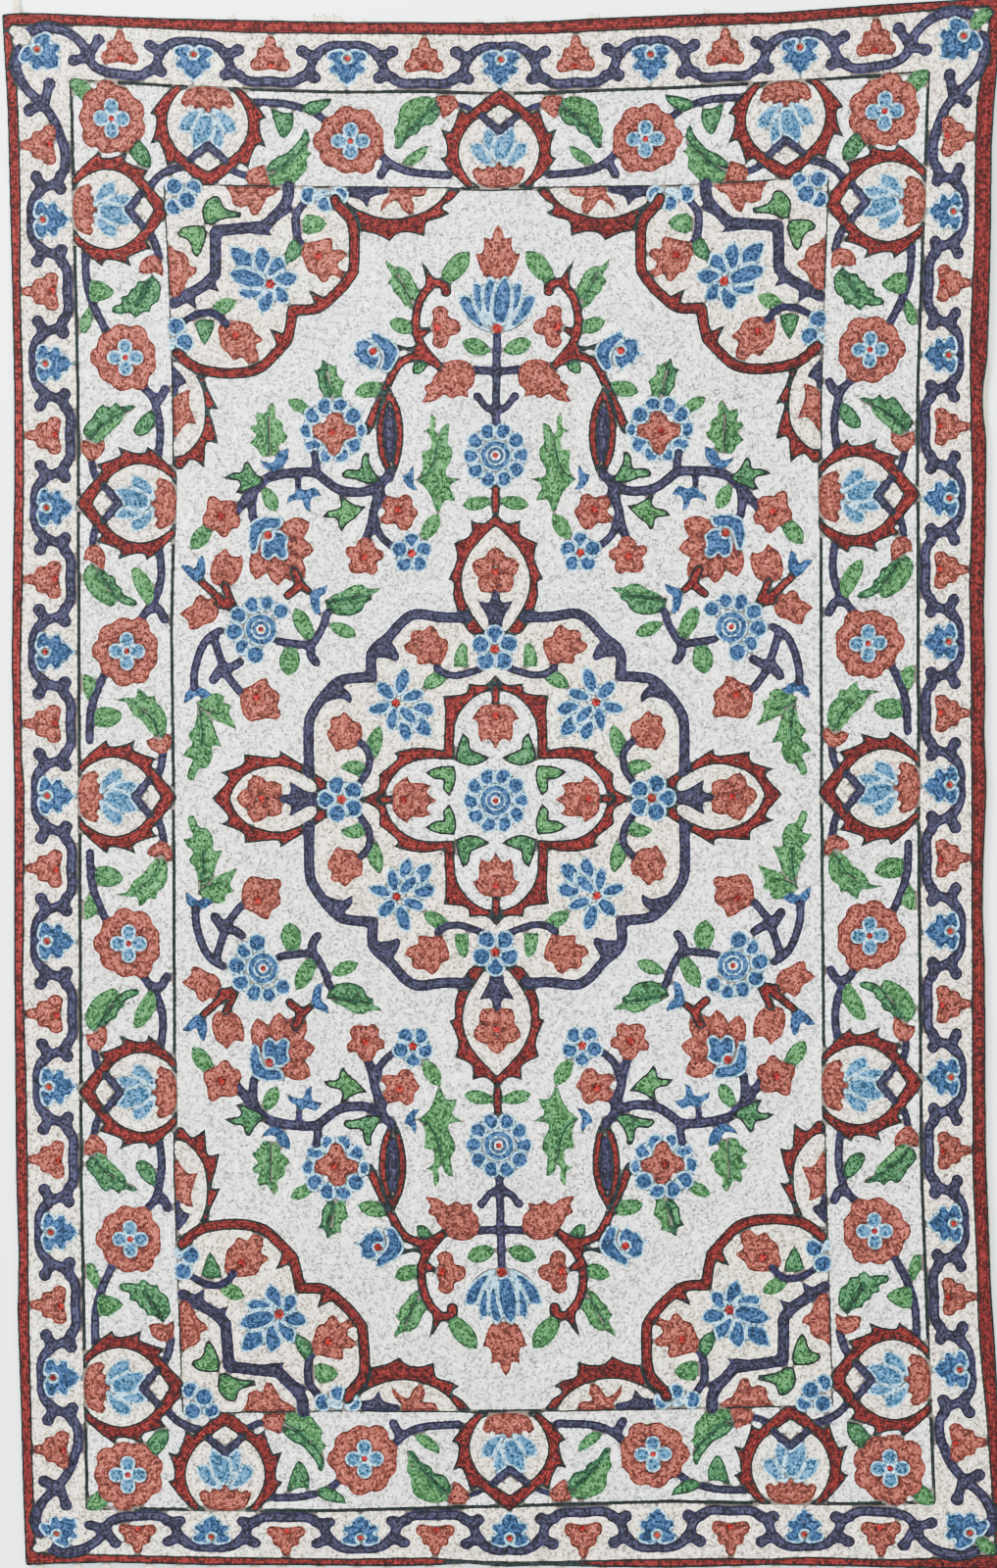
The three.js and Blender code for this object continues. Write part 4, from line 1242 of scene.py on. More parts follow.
def edge_y(name, x):
    """Where the rug's top or bottom edge is, at places across the rug."""
    chart = np.asarray(x) / UNIT + ORIGIN[0]
    return (ORIGIN[1] - np.interp(chart, *zip(*REAL_Y[name]))) * UNIT


def edge_x(name, y):
    """Where the rug's left or right edge is, at places along the rug."""
    chart = ORIGIN[1] - np.asarray(y) / UNIT
    return (np.interp(chart, *zip(*REAL_X[name])) - ORIGIN[0]) * UNIT


def lift(x, y):
    """How far the backing's underside is off the floor."""
    inward = edge_y("edge top", x) - y
    height = END_LIFT * (1 - soft_step((inward - END_LIFT_FULL) / END_LIFT_RUNOUT))
    for mx, my, turn, length, width, high in RIDGES + FOLD_MARKS:
        a = math.radians(turn)
        dx, dy = x * 1000 - mx, y * 1000 - my
        lengthwise = (dx * math.cos(a) + dy * math.sin(a)) / (length / 2)
        crosswise = (dy * math.cos(a) - dx * math.sin(a)) / width
        height = height + high / 1000 * window(lengthwise) * window(crosswise)
    return height


def face_top(x, y):
    return lift(x, y) + BACKING_THICK + CLOTH_GAP + FACE_THICK


def new_mesh(name, points, corners, counts, material):
    """A mesh from its points, the corners of all its faces in turn and each face's corner count."""
    mesh = bpy.data.meshes.new(name)
    mesh.vertices.add(len(points))
    mesh.vertices.foreach_set("co", np.asarray(points, np.float32).ravel())
    mesh.loops.add(len(corners))
    mesh.loops.foreach_set("vertex_index", np.asarray(corners, np.int32))
    starts = np.concatenate([[0], np.cumsum(counts)[:-1]])
    mesh.polygons.add(len(counts))
    mesh.polygons.foreach_set("loop_start", starts.astype(np.int32))
    mesh.polygons.foreach_set("use_smooth", np.ones(len(counts), bool))
    mesh.update(calc_edges=True)
    mesh.validate()
    piece = bpy.data.objects.new(name, mesh)
    bpy.context.scene.collection.objects.link(piece)
    piece.data.materials.append(material)
    return piece


def closed_sheet(name, plan, low, high, material):
    """A closed sheet on a grid of plan places, shape (rows, columns, 2), between two heights."""
    rows, columns = plan.shape[:2]
    x, y = plan[..., 0], plan[..., 1]
    layers = [np.stack([x, y, z], axis=-1).reshape(-1, 3) for z in (low, high)]
    number = np.arange(rows * columns).reshape(rows, columns)
    a, b = number[:-1, :-1].ravel(), number[:-1, 1:].ravel()
    c, d = number[1:, 1:].ravel(), number[1:, :-1].ravel()
    size = rows * columns
    under = np.stack([a, b, c, d], axis=1)
    over = np.stack([a, d, c, b], axis=1) + size
    rim = np.concatenate([number[0, :-1], number[:-1, -1], number[-1, :0:-1], number[:0:-1, 0]])
    following = np.roll(rim, -1)
    side = np.stack([rim, rim + size, following + size, following], axis=1)
    faces = np.concatenate([under, over, side])
    return new_mesh(name, np.concatenate(layers), faces.ravel(), np.full(len(faces), 4), material)


def face_base(material):
    """The cloth that the rows are stitched through, a little inside their outer edge."""
    inset = 0.7
    cx = np.linspace(LINES_X[0] + inset, far((LINES_X[0] + inset, 0))[0], 121)
    cy = np.linspace(LINES_Y[0] + inset, far((0, LINES_Y[0] + inset))[1], 201)
    plan = metres(warp(np.stack(np.meshgrid(cx, cy), axis=-1).reshape(-1, 2))).reshape(201, 121, 2)
    base = lift(plan[..., 0], plan[..., 1]) + BACKING_THICK + CLOTH_GAP
    top = base + FACE_THICK - ROW_CROWN * 1.1
    return closed_sheet("face_cloth", plan, base, top, material)


def backing_past(y):
    """How far the backing shows past the face's right edge."""
    stations = (-0.738, -0.56, -0.46, -0.42, -0.34, 0.09, 0.32, 0.335, 0.385, 0.4, 0.52, 0.739)
    shown_there = (-3, 0.5, 1, 2, 1.5, 2, 1, 3.5, 5, 1.5, 0.5, -3)
    return np.interp(y, stations, shown_there) / 1000


def backing_sheet(material):
    rows, columns = 121, 61
    v = np.linspace(0, 1, rows)[:, None]
    u = np.linspace(0, 1, columns)[None, :]
    middle_x = (u - 0.5) * NOMINAL_WIDTH + 0 * v
    low = edge_y("edge bottom", middle_x) + BACKING_END_INSET
    high = edge_y("edge top", middle_x) - BACKING_END_INSET
    y = low + (high - low) * v
    left = edge_x("edge left", y) + BACKING_INSET
    right = edge_x("edge right", y) + backing_past(y)
    x = left + (right - left) * u
    low = edge_y("edge bottom", x) + BACKING_END_INSET
    high = edge_y("edge top", x) - BACKING_END_INSET
    y = low + (high - low) * v
    base = lift(x, y)
    plan = np.stack([x, y], axis=-1)[::-1]
    return closed_sheet("backing_cloth", plan, base[::-1], base[::-1] + BACKING_THICK, material)


# Rows of chain stitch
STITCH = 2.5
LONGEST_STEP = 8.0
LARGEST_TURN = 0.42
STRIPS = 6
FIELD_REACH = 70.0


def eased(points, closed, passes=2):
    """Takes the raster's small steps out of a level line."""
    p = points
    for _ in range(passes):
        before, after = np.roll(p, 1, axis=0), np.roll(p, -1, axis=0)
        q = (before + 2 * p + after) / 4
        if not closed:
            q[0], q[-1] = p[0], p[-1]
        p = q
    return p


def stepped(points, closed):
    """A line with fewer points, closer together where it bends."""
    if closed:
        points = np.vstack([points, points[:1]])
    along = np.diff(points, axis=0)
    size = np.maximum(np.hypot(along[:, 0], along[:, 1]), 1e-6)
    heading = np.unwrap(np.arctan2(along[:, 1], along[:, 0]))
    turn = np.zeros(len(size))
    turn[1:] = np.abs(np.diff(heading))
    weight = np.concatenate([[0], np.cumsum(size / LONGEST_STEP + turn / LARGEST_TURN)])
    count = max(2, int(math.ceil(weight[-1])) + 1)
    at = np.linspace(0, weight[-1], count)
    run = np.concatenate([[0], np.cumsum(size)])
    places = np.stack([np.interp(at, weight, points[:, k]) for k in (0, 1)], axis=1)
    return places, np.interp(at, weight, run)


def runs_of(values):
    """First and last-plus-one of every stretch of equal values."""
    change = np.nonzero(np.diff(values))[0] + 1
    starts = np.concatenate([[0], change])
    return zip(starts, np.concatenate([change, [len(values)]]))


def filled_rows(owner, distance):
    """Rows that follow the outlines of the filled pieces."""
    rows = []
    level = ROW / 2
    while level < FIELD_REACH:
        found = level_lines(distance, 2, level)
        number = int(level / ROW)
        for points, closed in found:
            holder = shown(owner, points)
            whole = closed and (holder == holder[0]).all()
            if whole and len(points) < 9:
                rows += dab(points, holder[0], number)
                continue
            if len(points) < 4:
                continue
            points = eased(points, whole)
            for start, stop in [(0, len(points))] if whole else runs_of(holder):
                piece = holder[start]
                if piece < 0 or WORK[piece]["course"] is not None or stop - start < 3:
                    continue
                yarns = WORK[piece]["rows"]
                rows.append({
                    "points": points[start:stop], "closed": whole, "piece": piece,
                    "yarn": yarns[min(number, len(yarns) - 1)], "level": level,
                })
        if not found:
            break
        level += ROW
    return rows


def dab(points, piece, number):
    """The last stitch in the middle of a filled shape."""
    if piece < 0 or WORK[piece]["course"] is not None:
        return []
    yarns = WORK[piece]["rows"]
    middle = points.mean(axis=0)
    reach = max(1.3, np.ptp(points[:, 0]) / 2 + 0.4)
    course = np.stack([middle - (reach, 0), middle, middle + (reach, 0)])
    yarn = yarns[min(number, len(yarns) - 1)]
    return [{"points": course, "closed": False, "piece": piece, "yarn": yarn, "level": None}]


def line_rows():
    """Rows of the line pieces, side by side."""
    rows = []
    for number, piece in enumerate(WORK):
        if piece["course"] is None:
            continue
        course = evenly(piece["course"], 1.5)
        side = normals(course)
        count = len(piece["rows"])
        for place, yarn in enumerate(piece["rows"]):
            offset = (place - (count - 1) / 2) * ROW
            rows.append({
                "points": course + side * offset, "closed": False, "piece": number, "yarn": yarn,
                "level": None,
            })
    return rows


def linear(colour):
    c = np.asarray(colour, float)
    return np.where(c <= 0.04045, c / 12.92, ((c + 0.055) / 1.055) ** 2.4)


def abrash(x, y):
    """The slow change of the dyed yarn across the rug."""
    return (
        0.035 * np.sin(9 * x + 4 * y + 1.0) + 0.03 * np.sin(17 * y - 5 * x)
        + 0.02 * np.sin(31 * x + 23 * y + 2.0)
    )


def ribbons(owner, distance, material):
    """Every row as a ribbon, its inner edge tucked under the next row, in strips across the rug."""
    rng = np.random.default_rng(7)
    points, sides, run, level, piece, tint, ends = [], [], [], [], [], [], []
    for row in filled_rows(owner, distance) + line_rows():
        places, at = stepped(row["points"], row["closed"])
        if at[-1] < 1.5:
            continue
        side = normals(places)
        if row["closed"]:
            side[0] = side[-1] = normals(places[:-1], True)[0]
        points.append(places)
        sides.append(side)
        run.append(at + rng.uniform(0, 50))
        n = len(places)
        level.append(np.full(n, -1.0 if row["level"] is None else row["level"]))
        piece.append(np.full(n, row["piece"]))
        shade = 1 + rng.normal(0, 0.09)
        warm = rng.normal(0, 0.012)
        tint.append(np.tile(linear(YARN[row["yarn"]]) * shade * (1 + warm, 1, 1 - warm), (n, 1)))
        ends.append(n)
    points, sides = np.concatenate(points), np.concatenate(sides)
    run, level, piece = map(np.concatenate, (run, level, piece))
    tint = np.concatenate(tint)
    follows = level > 0
    flip = follows & (
        sample(distance, points - sides * ROW / 2) > sample(distance, points + sides * ROW / 2)
    )
    sides[flip] *= -1
    grown = np.max([
        sample(distance, points + sides * (ROW * share)) for share in (0.3, 0.6, 0.9, 1.1, 1.3)
    ], axis=0) - level
    reach_in = np.where(
        follows & (grown < 1.15 * ROW), np.clip(grown + 0.7, 0.45 * ROW, 1.4 * ROW), 0.5 * ROW
    )
    reach_out = np.full(len(points), 0.5 * ROW)
    for way, reach in ((1, reach_in), (-1, reach_out)):
        for share in (0.9, 0.45):
            other = shown(owner, points + sides * (way * reach * share)[:, None]) != piece
            reach[other & ~follows] *= 0.5
    flat_in = points + sides * reach_in[:, None]
    flat_out = points - sides * reach_out[:, None]
    hidden = (~follows) & (shown(owner, points) != piece)
    flat = metres(np.stack([flat_out, flat_in], axis=1))
    x, y = flat[..., 0], flat[..., 1]
    z = face_top(x, y) + ROW_CROWN * np.array([0.25, -0.25])
    places = np.concatenate([flat, z[..., None]], axis=-1)
    light = (1 + abrash(x[:, 0], y[:, 0]))[:, None]
    tint = np.clip(tint * light, 0, 1)
    counts = np.array(ends)
    last = np.zeros(len(points), bool)
    last[np.cumsum(counts) - 1] = True
    start = np.nonzero(~last & ~hidden & ~np.roll(hidden, -1))[0]
    # a quad between samples i and i + 1
    quads = np.stack([2 * start, 2 * start + 1, 2 * start + 3, 2 * start + 2], axis=1)
    corner_v = np.tile(np.array((-1.0, 1.0, 1.0, -1.0)), (len(start), 1))
    corner_u = np.stack([run[start], run[start], run[start + 1], run[start + 1]], axis=1)
    flat_places = places.reshape(-1, 3)
    flat_tint = np.repeat(tint, 2, axis=0)
    a, b, c = (flat_places[quads[:, k]] for k in (0, 1, 2))
    down = np.cross(b - a, c - a)[:, 2] < 0
    quads[down] = quads[down][:, ::-1]
    corner_v[down] = corner_v[down][:, ::-1]
    corner_u[down] = corner_u[down][:, ::-1]
    centre = flat_places[quads].mean(axis=1)
    low, high = flat_places[:, 0].min(), flat_places[:, 0].max()
    strip = np.clip(((centre[:, 0] - low) / (high - low) * STRIPS).astype(int), 0, STRIPS - 1)
    pieces = []
    for number in range(STRIPS):
        mine = strip == number
        used, corners = np.unique(quads[mine], return_inverse=True)
        corners = corners.ravel()
        piece_mesh = new_mesh(
            f"stitched_rows_{number + 1}", flat_places[used], corners,
            np.full(mine.sum(), 4), material,
        )
        mesh = piece_mesh.data
        uv = mesh.uv_layers.new(name="rows")
        uv.data.foreach_set(
            "uv", np.stack([corner_u[mine].ravel() / STITCH, corner_v[mine].ravel()], 1).ravel())
        folded = mesh.uv_layers.new(name="OFBake")
        folded.data.foreach_set("uv", folded_uv(flat_places[used], corners, centre[mine]).ravel())
        colour = mesh.color_attributes.new("yarn", "FLOAT_COLOR", "POINT")
        rgba = np.ones((len(used), 4), np.float32)
        rgba[:, :3] = flat_tint[used]
        colour.data.foreach_set("color", rgba.ravel())
        pieces.append(piece_mesh)
    return pieces


def folded_uv(places, corners, centre):
    """A strip's plan folded into a square in three lengths side by side."""
    low, high = places.min(axis=0), places.max(axis=0)
    length = (high[1] - low[1]) / 3
    chunk = np.clip(((centre[:, 1] - low[1]) / length).astype(int), 0, 2).repeat(4)
    at = places[corners]
    width = high[0] - low[0]
    u = (chunk + 0.02 + 0.96 * (at[:, 0] - low[0]) / width) / 3
    v = 0.01 + 0.98 * np.clip((at[:, 1] - low[1] - chunk * length) / length, -0.01, 1.01)
    return np.stack([u, v], axis=1)


# The fringe's tassels, as in the frame, in metres and degrees
STRIP_FROM_EDGE = 0.001
STRIP_WIDTH = 0.005
STRAND_THICK = 0.0022
STRAND_LENGTH = 0.046
TASSELS = 28
TASSEL_MARGIN = 0.014
TASSEL_SWAY = 0.004
TASSEL_SWAY_TURN = 2.4
TASSEL_SLANT = 7
TASSEL_SLANT_TURN = 1.7
TASSEL_CORDS = 8
TASSEL_FAN = 7.5
TAPE_MARGIN = 0.006
NECK_LENGTH = 0.0042
KNOT_LENGTH = 0.009
KNOT_WIDTH = 0.0072
KNOT_HIGH = 0.0044
KNOT_TURN = 0.0016
KNOT_CORD_RADIUS = 0.0009
STRAND_WAVE = 0.0012
STRAND_PLY = 0.22
PLY_TURN = 0.005
CORNER_TASSEL_X = -0.452
CORNER_TASSEL_SLANT = 6
EDGE_ENDS = {"edge top": (-0.4665, 0.471), "edge bottom": (-0.4445, 0.471)}
# Knots of the turned-under tassels that show past the top edge: place, width, reach, millimetres
HUMPS = (
    (-252, 8, 3), (-212, 8, 2.5), (-162, 28, 6.5), (-127, 5, 3), (-20, 9, 3.5), (9, 9, 5),
    (88, 12, 4.5), (196, 11, 3.5),
)


def tassel_places(name):
    first, last = EDGE_ENDS[name]
    number = np.arange(TASSELS)
    even = np.linspace(first + TASSEL_MARGIN, last - TASSEL_MARGIN, TASSELS)
    return even + TASSEL_SWAY * np.sin(TASSEL_SWAY_TURN * number)


class Tubes:
    """Collects round and plied strands, and makes one mesh of them."""

    def __init__(self):
        self.points, self.faces, self.count = [], [], 0

    def add(self, course, radius, flat=1.0, sides=8, ply=0.0, turns=0.0):
        """A closed strand along a course, with two plies that twist about it by turns."""
        course = np.asarray(course, float)
        n = len(course)
        radius = np.broadcast_to(radius, n)
        along = np.gradient(course, axis=0)
        along /= np.maximum(np.linalg.norm(along, axis=1), 1e-9)[:, None]
        across = np.cross(along, (0, 0, 1.0))
        across /= np.maximum(np.linalg.norm(across, axis=1), 1e-9)[:, None]
        up = np.cross(across, along)
        angle = np.arange(sides) / sides * 2 * math.pi
        twist = np.linspace(0, turns * 2 * math.pi, n)
        bulge = 1 + ply * np.cos(2 * (angle[None, :] - twist[:, None]))
        ring = radius[:, None] * bulge
        points = (
            course[:, None]
            + (ring * np.cos(angle))[..., None] * across[:, None]
            + (ring * np.sin(angle) * flat)[..., None] * up[:, None]
        ).reshape(-1, 3)
        number = np.arange(n * sides).reshape(n, sides) + self.count
        following = np.roll(number, -1, axis=1)
        quads = np.stack([number[:-1], following[:-1], following[1:], number[1:]], -1)
        self.faces += quads.reshape(-1, 4).tolist()
        self.faces += [number[0][::-1].tolist(), number[-1].tolist()]
        self.points.append(points)
        self.count += n * sides

    def mesh(self, name, material):
        corners = [i for face in self.faces for i in face]
        counts = [len(face) for face in self.faces]
        return new_mesh(name, np.concatenate(self.points), corners, counts, material)


def strand(tubes, start, heading, length, rng, low, rise=0.0):
    """One plied cord lying on the floor, with a small wave of its own."""
    count = 18
    t = np.linspace(0, 1, count)
    wave = STRAND_WAVE * np.sin(t * rng.uniform(4, 7) + rng.uniform(0, 6)) * t
    a = math.radians(heading)
    x = start[0] + math.cos(a) * t * length - math.sin(a) * wave
    y = start[1] + math.sin(a) * t * length + math.cos(a) * wave
    radius = STRAND_THICK * 0.36 * np.interp(t, (0, 0.1, 0.85, 1), (0.8, 1, 0.95, 0.45))
    z = low + radius * 1.12 + rise * np.sin(math.pi * np.clip(t * 1.4, 0, 1))
    tubes.add(np.stack([x, y, z], 1), radius, sides=6, ply=STRAND_PLY, turns=length / PLY_TURN)


def knot(tubes, place, heading, width, length, low, high):
    """A wrapped knot: a few turns of cord side by side about the tassel's neck."""
    a = math.radians(heading)
    ahead, across = np.array([math.cos(a), math.sin(a)]), np.array([-math.sin(a), math.cos(a)])
    turns = max(3, int(length / KNOT_TURN))
    for number in range(turns):
        middle = np.asarray(place) + ahead * length * (number + 0.5) / turns
        angle = np.linspace(0, 2 * math.pi, 13)
        bulge = 1 - 0.25 * abs(2 * (number + 0.5) / turns - 1) ** 2
        side = across * (width / 2 * bulge)
        tall = (high - low) / 2 * bulge
        x = middle[0] + side[0] * np.cos(angle) + ahead[0] * 0.0006 * np.sin(angle)
        y = middle[1] + side[1] * np.cos(angle) + ahead[1] * 0.0006 * np.sin(angle)
        z = low + tall + (tall - 0.001) * np.sin(angle)
        tubes.add(np.stack([x, y, z], 1), KNOT_CORD_RADIUS, sides=6)


def tape(tubes, name, inward, low):
    """The narrow tape that the tassels are knotted into, under the face's edge."""
    first, last = EDGE_ENDS[name]
    x = np.linspace(first + TAPE_MARGIN, last - TAPE_MARGIN, 90)
    y = edge_y(name, x) + inward * (STRIP_FROM_EDGE + STRIP_WIDTH / 2)
    z = np.full(len(x), low + BACKING_THICK / 2)
    tubes.add(np.stack([x, y, z], 1), STRIP_WIDTH / 2, flat=0.2, sides=8)


def outward_tassel(tubes, x, name, outward, slant, low, rng):
    heading = 90 * outward + slant * outward
    a = math.radians(heading)
    root = np.array([x, float(edge_y(name, x)) - outward * (STRIP_FROM_EDGE + STRIP_WIDTH / 2)])
    ahead = np.array([math.cos(a), math.sin(a)])
    across = np.array([-math.sin(a), math.cos(a)])
    for side in (-1, 0, 1):
        course = [
            [*(root + across * side * 0.0016), low + 0.0011],
            [*(root + across * side * 0.0016 + ahead * NECK_LENGTH), low + 0.0011],
            [*(root + across * side * 0.0012 + ahead * (NECK_LENGTH + 0.002)), 0.0018],
        ]
        tubes.add(course, 0.001, sides=6)
    knot(tubes, root + ahead * NECK_LENGTH, heading, KNOT_WIDTH, KNOT_LENGTH, 0.0, KNOT_HIGH)
    for number in range(TASSEL_CORDS):
        fan = (number - (TASSEL_CORDS - 1) / 2) / (TASSEL_CORDS - 1) * 2
        start = root + ahead * (NECK_LENGTH + KNOT_LENGTH - 0.002) + across * fan * 0.0026
        length = STRAND_LENGTH + rng.uniform(-0.005, 0.002)
        strand(tubes, start, heading + fan * TASSEL_FAN + rng.normal(0, 1.2), length, rng,
               0.0002, 0.0006 * (number % 2))


def bottom_fringe(material):
    rng = np.random.default_rng(11)
    tubes = Tubes()
    tape(tubes, "edge bottom", 1, 0.0)
    for number, x in enumerate(tassel_places("edge bottom")):
        slant = TASSEL_SLANT * math.sin(TASSEL_SLANT_TURN * number)
        outward_tassel(tubes, x, "edge bottom", -1, slant, 0.0, rng)
    return tubes.mesh("fringe_bottom_cords", material)


def top_fringe(material):
    rng = np.random.default_rng(12)
    tubes = Tubes()
    tape(tubes, "edge top", -1, END_LIFT)
    for x in tassel_places("edge top")[1:]:
        y = float(edge_y("edge top", x)) - STRIP_FROM_EDGE - STRIP_WIDTH / 2
        tubes.add([[x, y, 0.0012], [x, y - 0.0005, END_LIFT + 0.0005]], 0.0024, sides=8)
        for number in range(5):
            fan = (number - 2) / 2
            strand(tubes, (x + fan * 0.0022, y), -90 + fan * 7 + rng.normal(0, 1), STRAND_LENGTH,
                   rng, 0.0001)
    for x, width, reach in HUMPS:
        middle = x / 1000
        y = float(edge_y("edge top", middle)) - STRIP_FROM_EDGE - STRIP_WIDTH / 2
        past = STRIP_FROM_EDGE + STRIP_WIDTH / 2
        half, out = width / 2000, reach / 1000
        count = max(2, int(round(width / 3.2)))
        thick = half / count * 1.15
        for number in range(count):
            side = middle + half * (2 * (number + 0.5) / count - 1)
            top = out * (0.75 + 0.25 * math.sin(number * 2.1 + x))
            tubes.add([
                [side, y, END_LIFT + 0.0005], [side, y + past, END_LIFT + 0.0006],
                [side + 0.0004, y + past + top * 0.55, END_LIFT + 0.0016],
                [side + 0.0002, y + past + top, END_LIFT - 0.0002],
                [side, y + past + top * 0.5, thick + 0.0003],
            ], thick, sides=8)
    outward_tassel(tubes, CORNER_TASSEL_X, "edge top", 1, CORNER_TASSEL_SLANT, END_LIFT, rng)
    return tubes.mesh("fringe_top_cords", material)


# Colours of the plain cottons and the floor, and how far apart the woven threads lie, in metres
# The face canvas is coloured dark as painted shade, so the gaps between the rows read as shadow.
CANVAS_PAINTED_SHADE_TONE = (0.36, 0.33, 0.30)
CANVAS_THREAD = 0.0006
BACKING_TONE = (0.80, 0.77, 0.68)
BACKING_THREAD = 0.0007
CORD_TONE = (0.80, 0.76, 0.66)
FLOOR_TONE = (0.86, 0.885, 0.885)


class Graph:
    """A material's nodes, added by type with their settings and inputs."""

    def __init__(self, name):
        self.material = bpy.data.materials.new(name)
        self.material.use_nodes = True
        self.tree = self.material.node_tree
        self.shader = self.tree.nodes["Principled BSDF"]

    def add(self, kind, inputs=(), **settings):
        node = self.tree.nodes.new(kind)
        for key, value in settings.items():
            setattr(node, key, value)
        for key, value in dict(inputs).items():
            self.put(node.inputs[key], value)
        return node

    def put(self, socket, value):
        if isinstance(value, bpy.types.NodeSocket):
            self.tree.links.new(value, socket)
        else:
            socket.default_value = value

    def maths(self, operation, *values):
        node = self.add("ShaderNodeMath", operation=operation)
        for socket, value in zip(node.inputs, values):
            self.put(socket, value)
        return node.outputs[0]

    def ramp(self, value, low, high, to_low, to_high):
        node = self.add("ShaderNodeMapRange", {
            "Value": value, "From Min": low, "From Max": high, "To Min": to_low, "To Max": to_high,
        }, interpolation_type="SMOOTHSTEP")
        return node.outputs[0]

    def noise(self, scale, detail, roughness):
        place = self.add("ShaderNodeTexCoord").outputs["Object"]
        node = self.add("ShaderNodeTexNoise", {
            "Vector": place, "Scale": scale, "Detail": detail, "Roughness": roughness,
        })
        return node.outputs["Fac"]

    def times(self, colour, factor):
        node = self.add("ShaderNodeVectorMath", operation="SCALE")
        self.put(node.inputs[0], colour)
        self.put(node.inputs["Scale"], factor)
        return node.outputs[0]

    def finish(self, colour, roughness, height=None, depth=0.0005, strength=1.0):
        self.put(self.shader.inputs["Base Color"], colour)
        self.put(self.shader.inputs["Roughness"], roughness)
        self.put(self.shader.inputs["Specular IOR Level"], 0.2)
        if height is not None:
            bump = self.add("ShaderNodeBump", {
                "Height": height, "Distance": depth, "Strength": strength,
            })
            self.put(self.shader.inputs["Normal"], bump.outputs[0])
        return self.material


def wool_rows():
    """Chain stitch in wool: each stitch is a loop of two arms round a small hole; painted shade darkens
    the hole and the row edges, painted highlight lightens the arms.
    """
    g = Graph("embroidery_wool_rows")
    uv = g.add("ShaderNodeUVMap", uv_map="rows").outputs[0]
    parts = g.add("ShaderNodeSeparateXYZ", {"Vector": uv})
    along = g.maths("FRACT", parts.outputs[0])
    away = g.maths("ABSOLUTE", parts.outputs[1])
    wave = g.maths("SINE", g.maths("MULTIPLY", along, math.pi))
    arm = g.maths("MULTIPLY_ADD", wave, 0.34, 0.16)
    off_arm = g.maths("ABSOLUTE", g.maths("SUBTRACT", away, arm))
    body = g.ramp(off_arm, 0.05, 0.42, 1.0, 0.0)
    side = g.ramp(away, 0.5, 1.0, 1.0, 0.0)
    height = g.maths("MULTIPLY", body, side)
    fibre = g.noise(900.0, 3.0, 0.7)
    clump = g.noise(340.0, 2.0, 0.6)
    speck = g.ramp(fibre, 0.35, 0.65, 0.55, 1.45)
    patch = g.ramp(clump, 0.35, 0.65, 0.6, 1.4)
    stitch = g.add("ShaderNodeTexWhiteNoise", noise_dimensions="1D")
    g.put(stitch.inputs["W"], g.maths("FLOOR", parts.outputs[0]))
    own = g.ramp(stitch.outputs["Value"], 0.0, 1.0, 0.25, 1.75)
    # Painted shade and highlight: the yarn colour is darker where the stitch lies low, in its hole and at
    # the row edges, and lighter on the arms.
    shade = g.ramp(height, 0.0, 0.55, 0.4, 1.75)
    for factor in (speck, patch, own):
        shade = g.maths("MULTIPLY", shade, factor)
    yarn = g.add("ShaderNodeAttribute", attribute_name="yarn").outputs["Color"]
    # The painted highlight can't take a pale yarn lighter than white
    pale = g.add("ShaderNodeRGBToBW", {"Color": yarn}).outputs[0]
    shade = g.maths("MINIMUM", shade, g.maths("MULTIPLY_ADD", pale, -1.4, 2.5))
    full = g.maths("MULTIPLY_ADD", fibre, 0.25, height)
    return g.finish(g.times(yarn, shade), 0.95, full, 0.0008, 1.0)


def plain_weave(name, colour, pitch):
    """Plain woven cotton, its threads crossing over and under, with painted shade darkening the colour
    where they dip.
    """
    g = Graph(name)
    place = g.add("ShaderNodeTexCoord").outputs["Object"]
    parts = g.add("ShaderNodeSeparateXYZ", {"Vector": place})
    across, down = (
        g.maths("SINE", g.maths("MULTIPLY", parts.outputs[k], math.pi / pitch)) for k in (0, 1)
    )
    cross = g.maths("MULTIPLY", across, down)
    thread = g.maths("MULTIPLY_ADD", cross, 0.5, 0.5)
    uneven = g.noise(350.0, 3.0, 0.6)
    # Painted shade: darker where the threads dip under one another, times a random unevenness of tone.
    shade = g.maths("MULTIPLY", g.ramp(thread, 0.0, 1.0, 0.78, 1.05), g.ramp(uneven, 0.3, 0.7, 0.9, 1.08))
    tone = g.add("ShaderNodeRGB")
    tone.outputs[0].default_value = (*linear(colour), 1)
    return g.finish(g.times(tone.outputs[0], shade), 0.95, thread, 0.0003, 0.7)


def cotton_cord():
    """Soft off-white cotton, with fine fibres."""
    g = Graph("fringe_cotton_cord")
    fibre = g.noise(1400.0, 3.0, 0.7)
    patch = g.noise(120.0, 2.0, 0.5)
    shade = g.maths("MULTIPLY", g.ramp(fibre, 0.3, 0.7, 0.84, 1.08), g.ramp(patch, 0.3, 0.7, 0.92, 1.05))
    tone = g.add("ShaderNodeRGB")
    tone.outputs[0].default_value = (*linear(CORD_TONE), 1)
    return g.finish(g.times(tone.outputs[0], shade), 0.95, fibre, 0.0003, 0.6)


def floor_paint():
    g = Graph("studio_floor")
    tone = g.add("ShaderNodeRGB")
    tone.outputs[0].default_value = (*linear(FLOOR_TONE), 1)
    return g.finish(tone.outputs[0], 0.9)


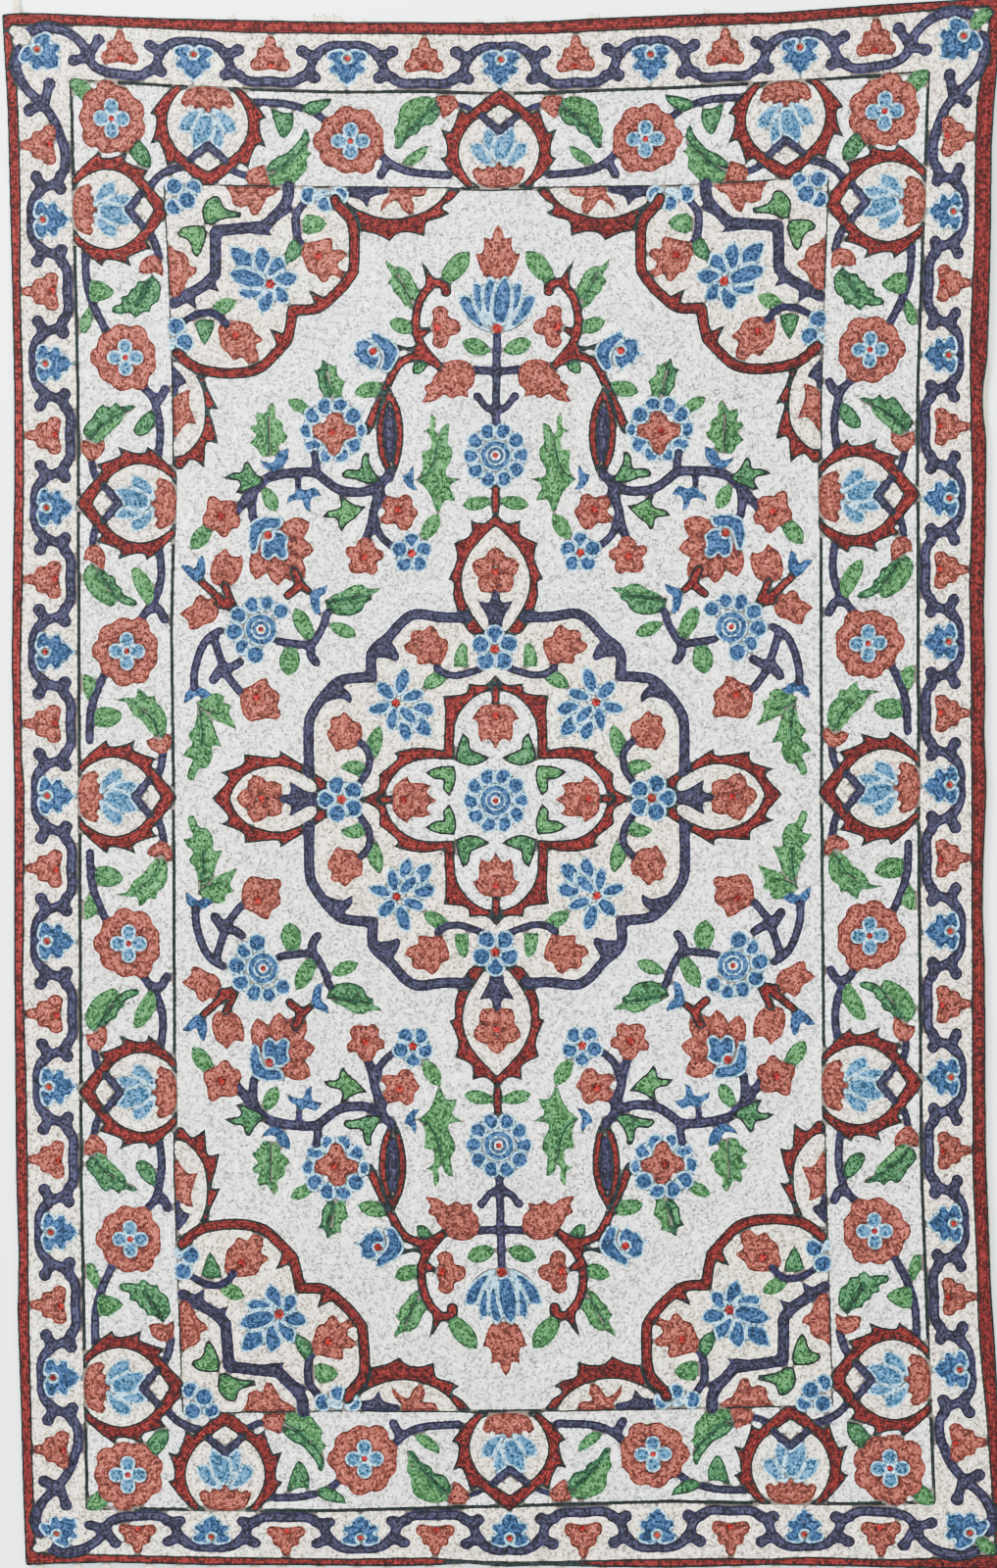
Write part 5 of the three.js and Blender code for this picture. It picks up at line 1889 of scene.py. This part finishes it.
def build_object():
    draw()
    owner = paint()
    distance = to_boundary(owner, FIELD_REACH)
    # The canvas under the rows is dark: painted shade showing in the gaps between them.
    base = face_base(plain_weave("face_canvas_painted_shade", CANVAS_PAINTED_SHADE_TONE, CANVAS_THREAD))
    backing = backing_sheet(plain_weave("backing_cotton_weave", BACKING_TONE, BACKING_THREAD))
    strips = ribbons(owner, distance, wool_rows())
    cord = cotton_cord()
    low, high = bottom_fringe(cord), top_fringe(cord)
    for piece in (base, *strips):
        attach(piece, "root")
        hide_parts("embroidered_face")
    for piece, node, name in (
        (backing, "cotton_backing", "backing_cotton"),
        (low, "fringe_bottom", "fringe_cotton"), (high, "fringe_top", "fringe_cotton"),
    ):
        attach(piece, "root")
        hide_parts(node)


# The studio, in metres and watts
SKY_TINT = (0.93, 0.97, 1.0, 1)
SKY_STRENGTH = 2.65
FLOOR_REACH = 6
FLOOR_DROP = 0.0003
MAIN_LIGHT = ((-2.4, 2.6, 2.0), (1.4, 1.2), 930)
FILL_LIGHT = ((2.2, -0.6, 3.0), (2.4, 2.4), 90)

CAMERA_LENS = 85.0
CAMERA_SENSOR = 36.0
FRAME_HEIGHT = PHOTO_HEIGHT * UNIT
FRAME_MIDDLE_X = -0.5 * UNIT
CLOTH_LEVEL = 0.0045


def set_camera():
    data = bpy.data.cameras.new("camera")
    data.lens = CAMERA_LENS
    data.sensor_width = CAMERA_SENSOR
    camera = bpy.data.objects.new("camera", data)
    bpy.context.scene.collection.objects.link(camera)
    away = FRAME_HEIGHT * CAMERA_LENS / CAMERA_SENSOR
    camera.location = (FRAME_MIDDLE_X, 0, CLOTH_LEVEL + away)
    bpy.context.scene.camera = camera


def area_light(name, place, size, power):
    data = bpy.data.lights.new(name, "AREA")
    data.shape = "RECTANGLE"
    data.size, data.size_y = size
    data.energy = power
    light = bpy.data.objects.new(name, data)
    light.location = place
    to_rug = -light.location.normalized()
    light.rotation_mode = "QUATERNION"
    light.rotation_quaternion = to_rug.to_track_quat("-Z", "Y")
    bpy.context.scene.collection.objects.link(light)


def set_studio():
    mesh = bpy.data.meshes.new("floor")
    corners = [(x * FLOOR_REACH, y * FLOOR_REACH, 0) for x, y in ((-1, -1), (1, -1), (1, 1), (-1, 1))]
    mesh.from_pydata(corners, [], [(0, 1, 2, 3)])
    floor = bpy.data.objects.new("floor", mesh)
    floor.location.z = -FLOOR_DROP
    mesh.materials.append(floor_paint())
    bpy.context.scene.collection.objects.link(floor)
    world = bpy.data.worlds.new("studio")
    world.use_nodes = True
    background = world.node_tree.nodes["Background"]
    background.inputs["Color"].default_value = SKY_TINT
    background.inputs["Strength"].default_value = SKY_STRENGTH
    bpy.context.scene.world = world
    area_light("main_light", *MAIN_LIGHT)
    area_light("fill_light", *FILL_LIGHT)


build_object()
set_camera()
set_studio()
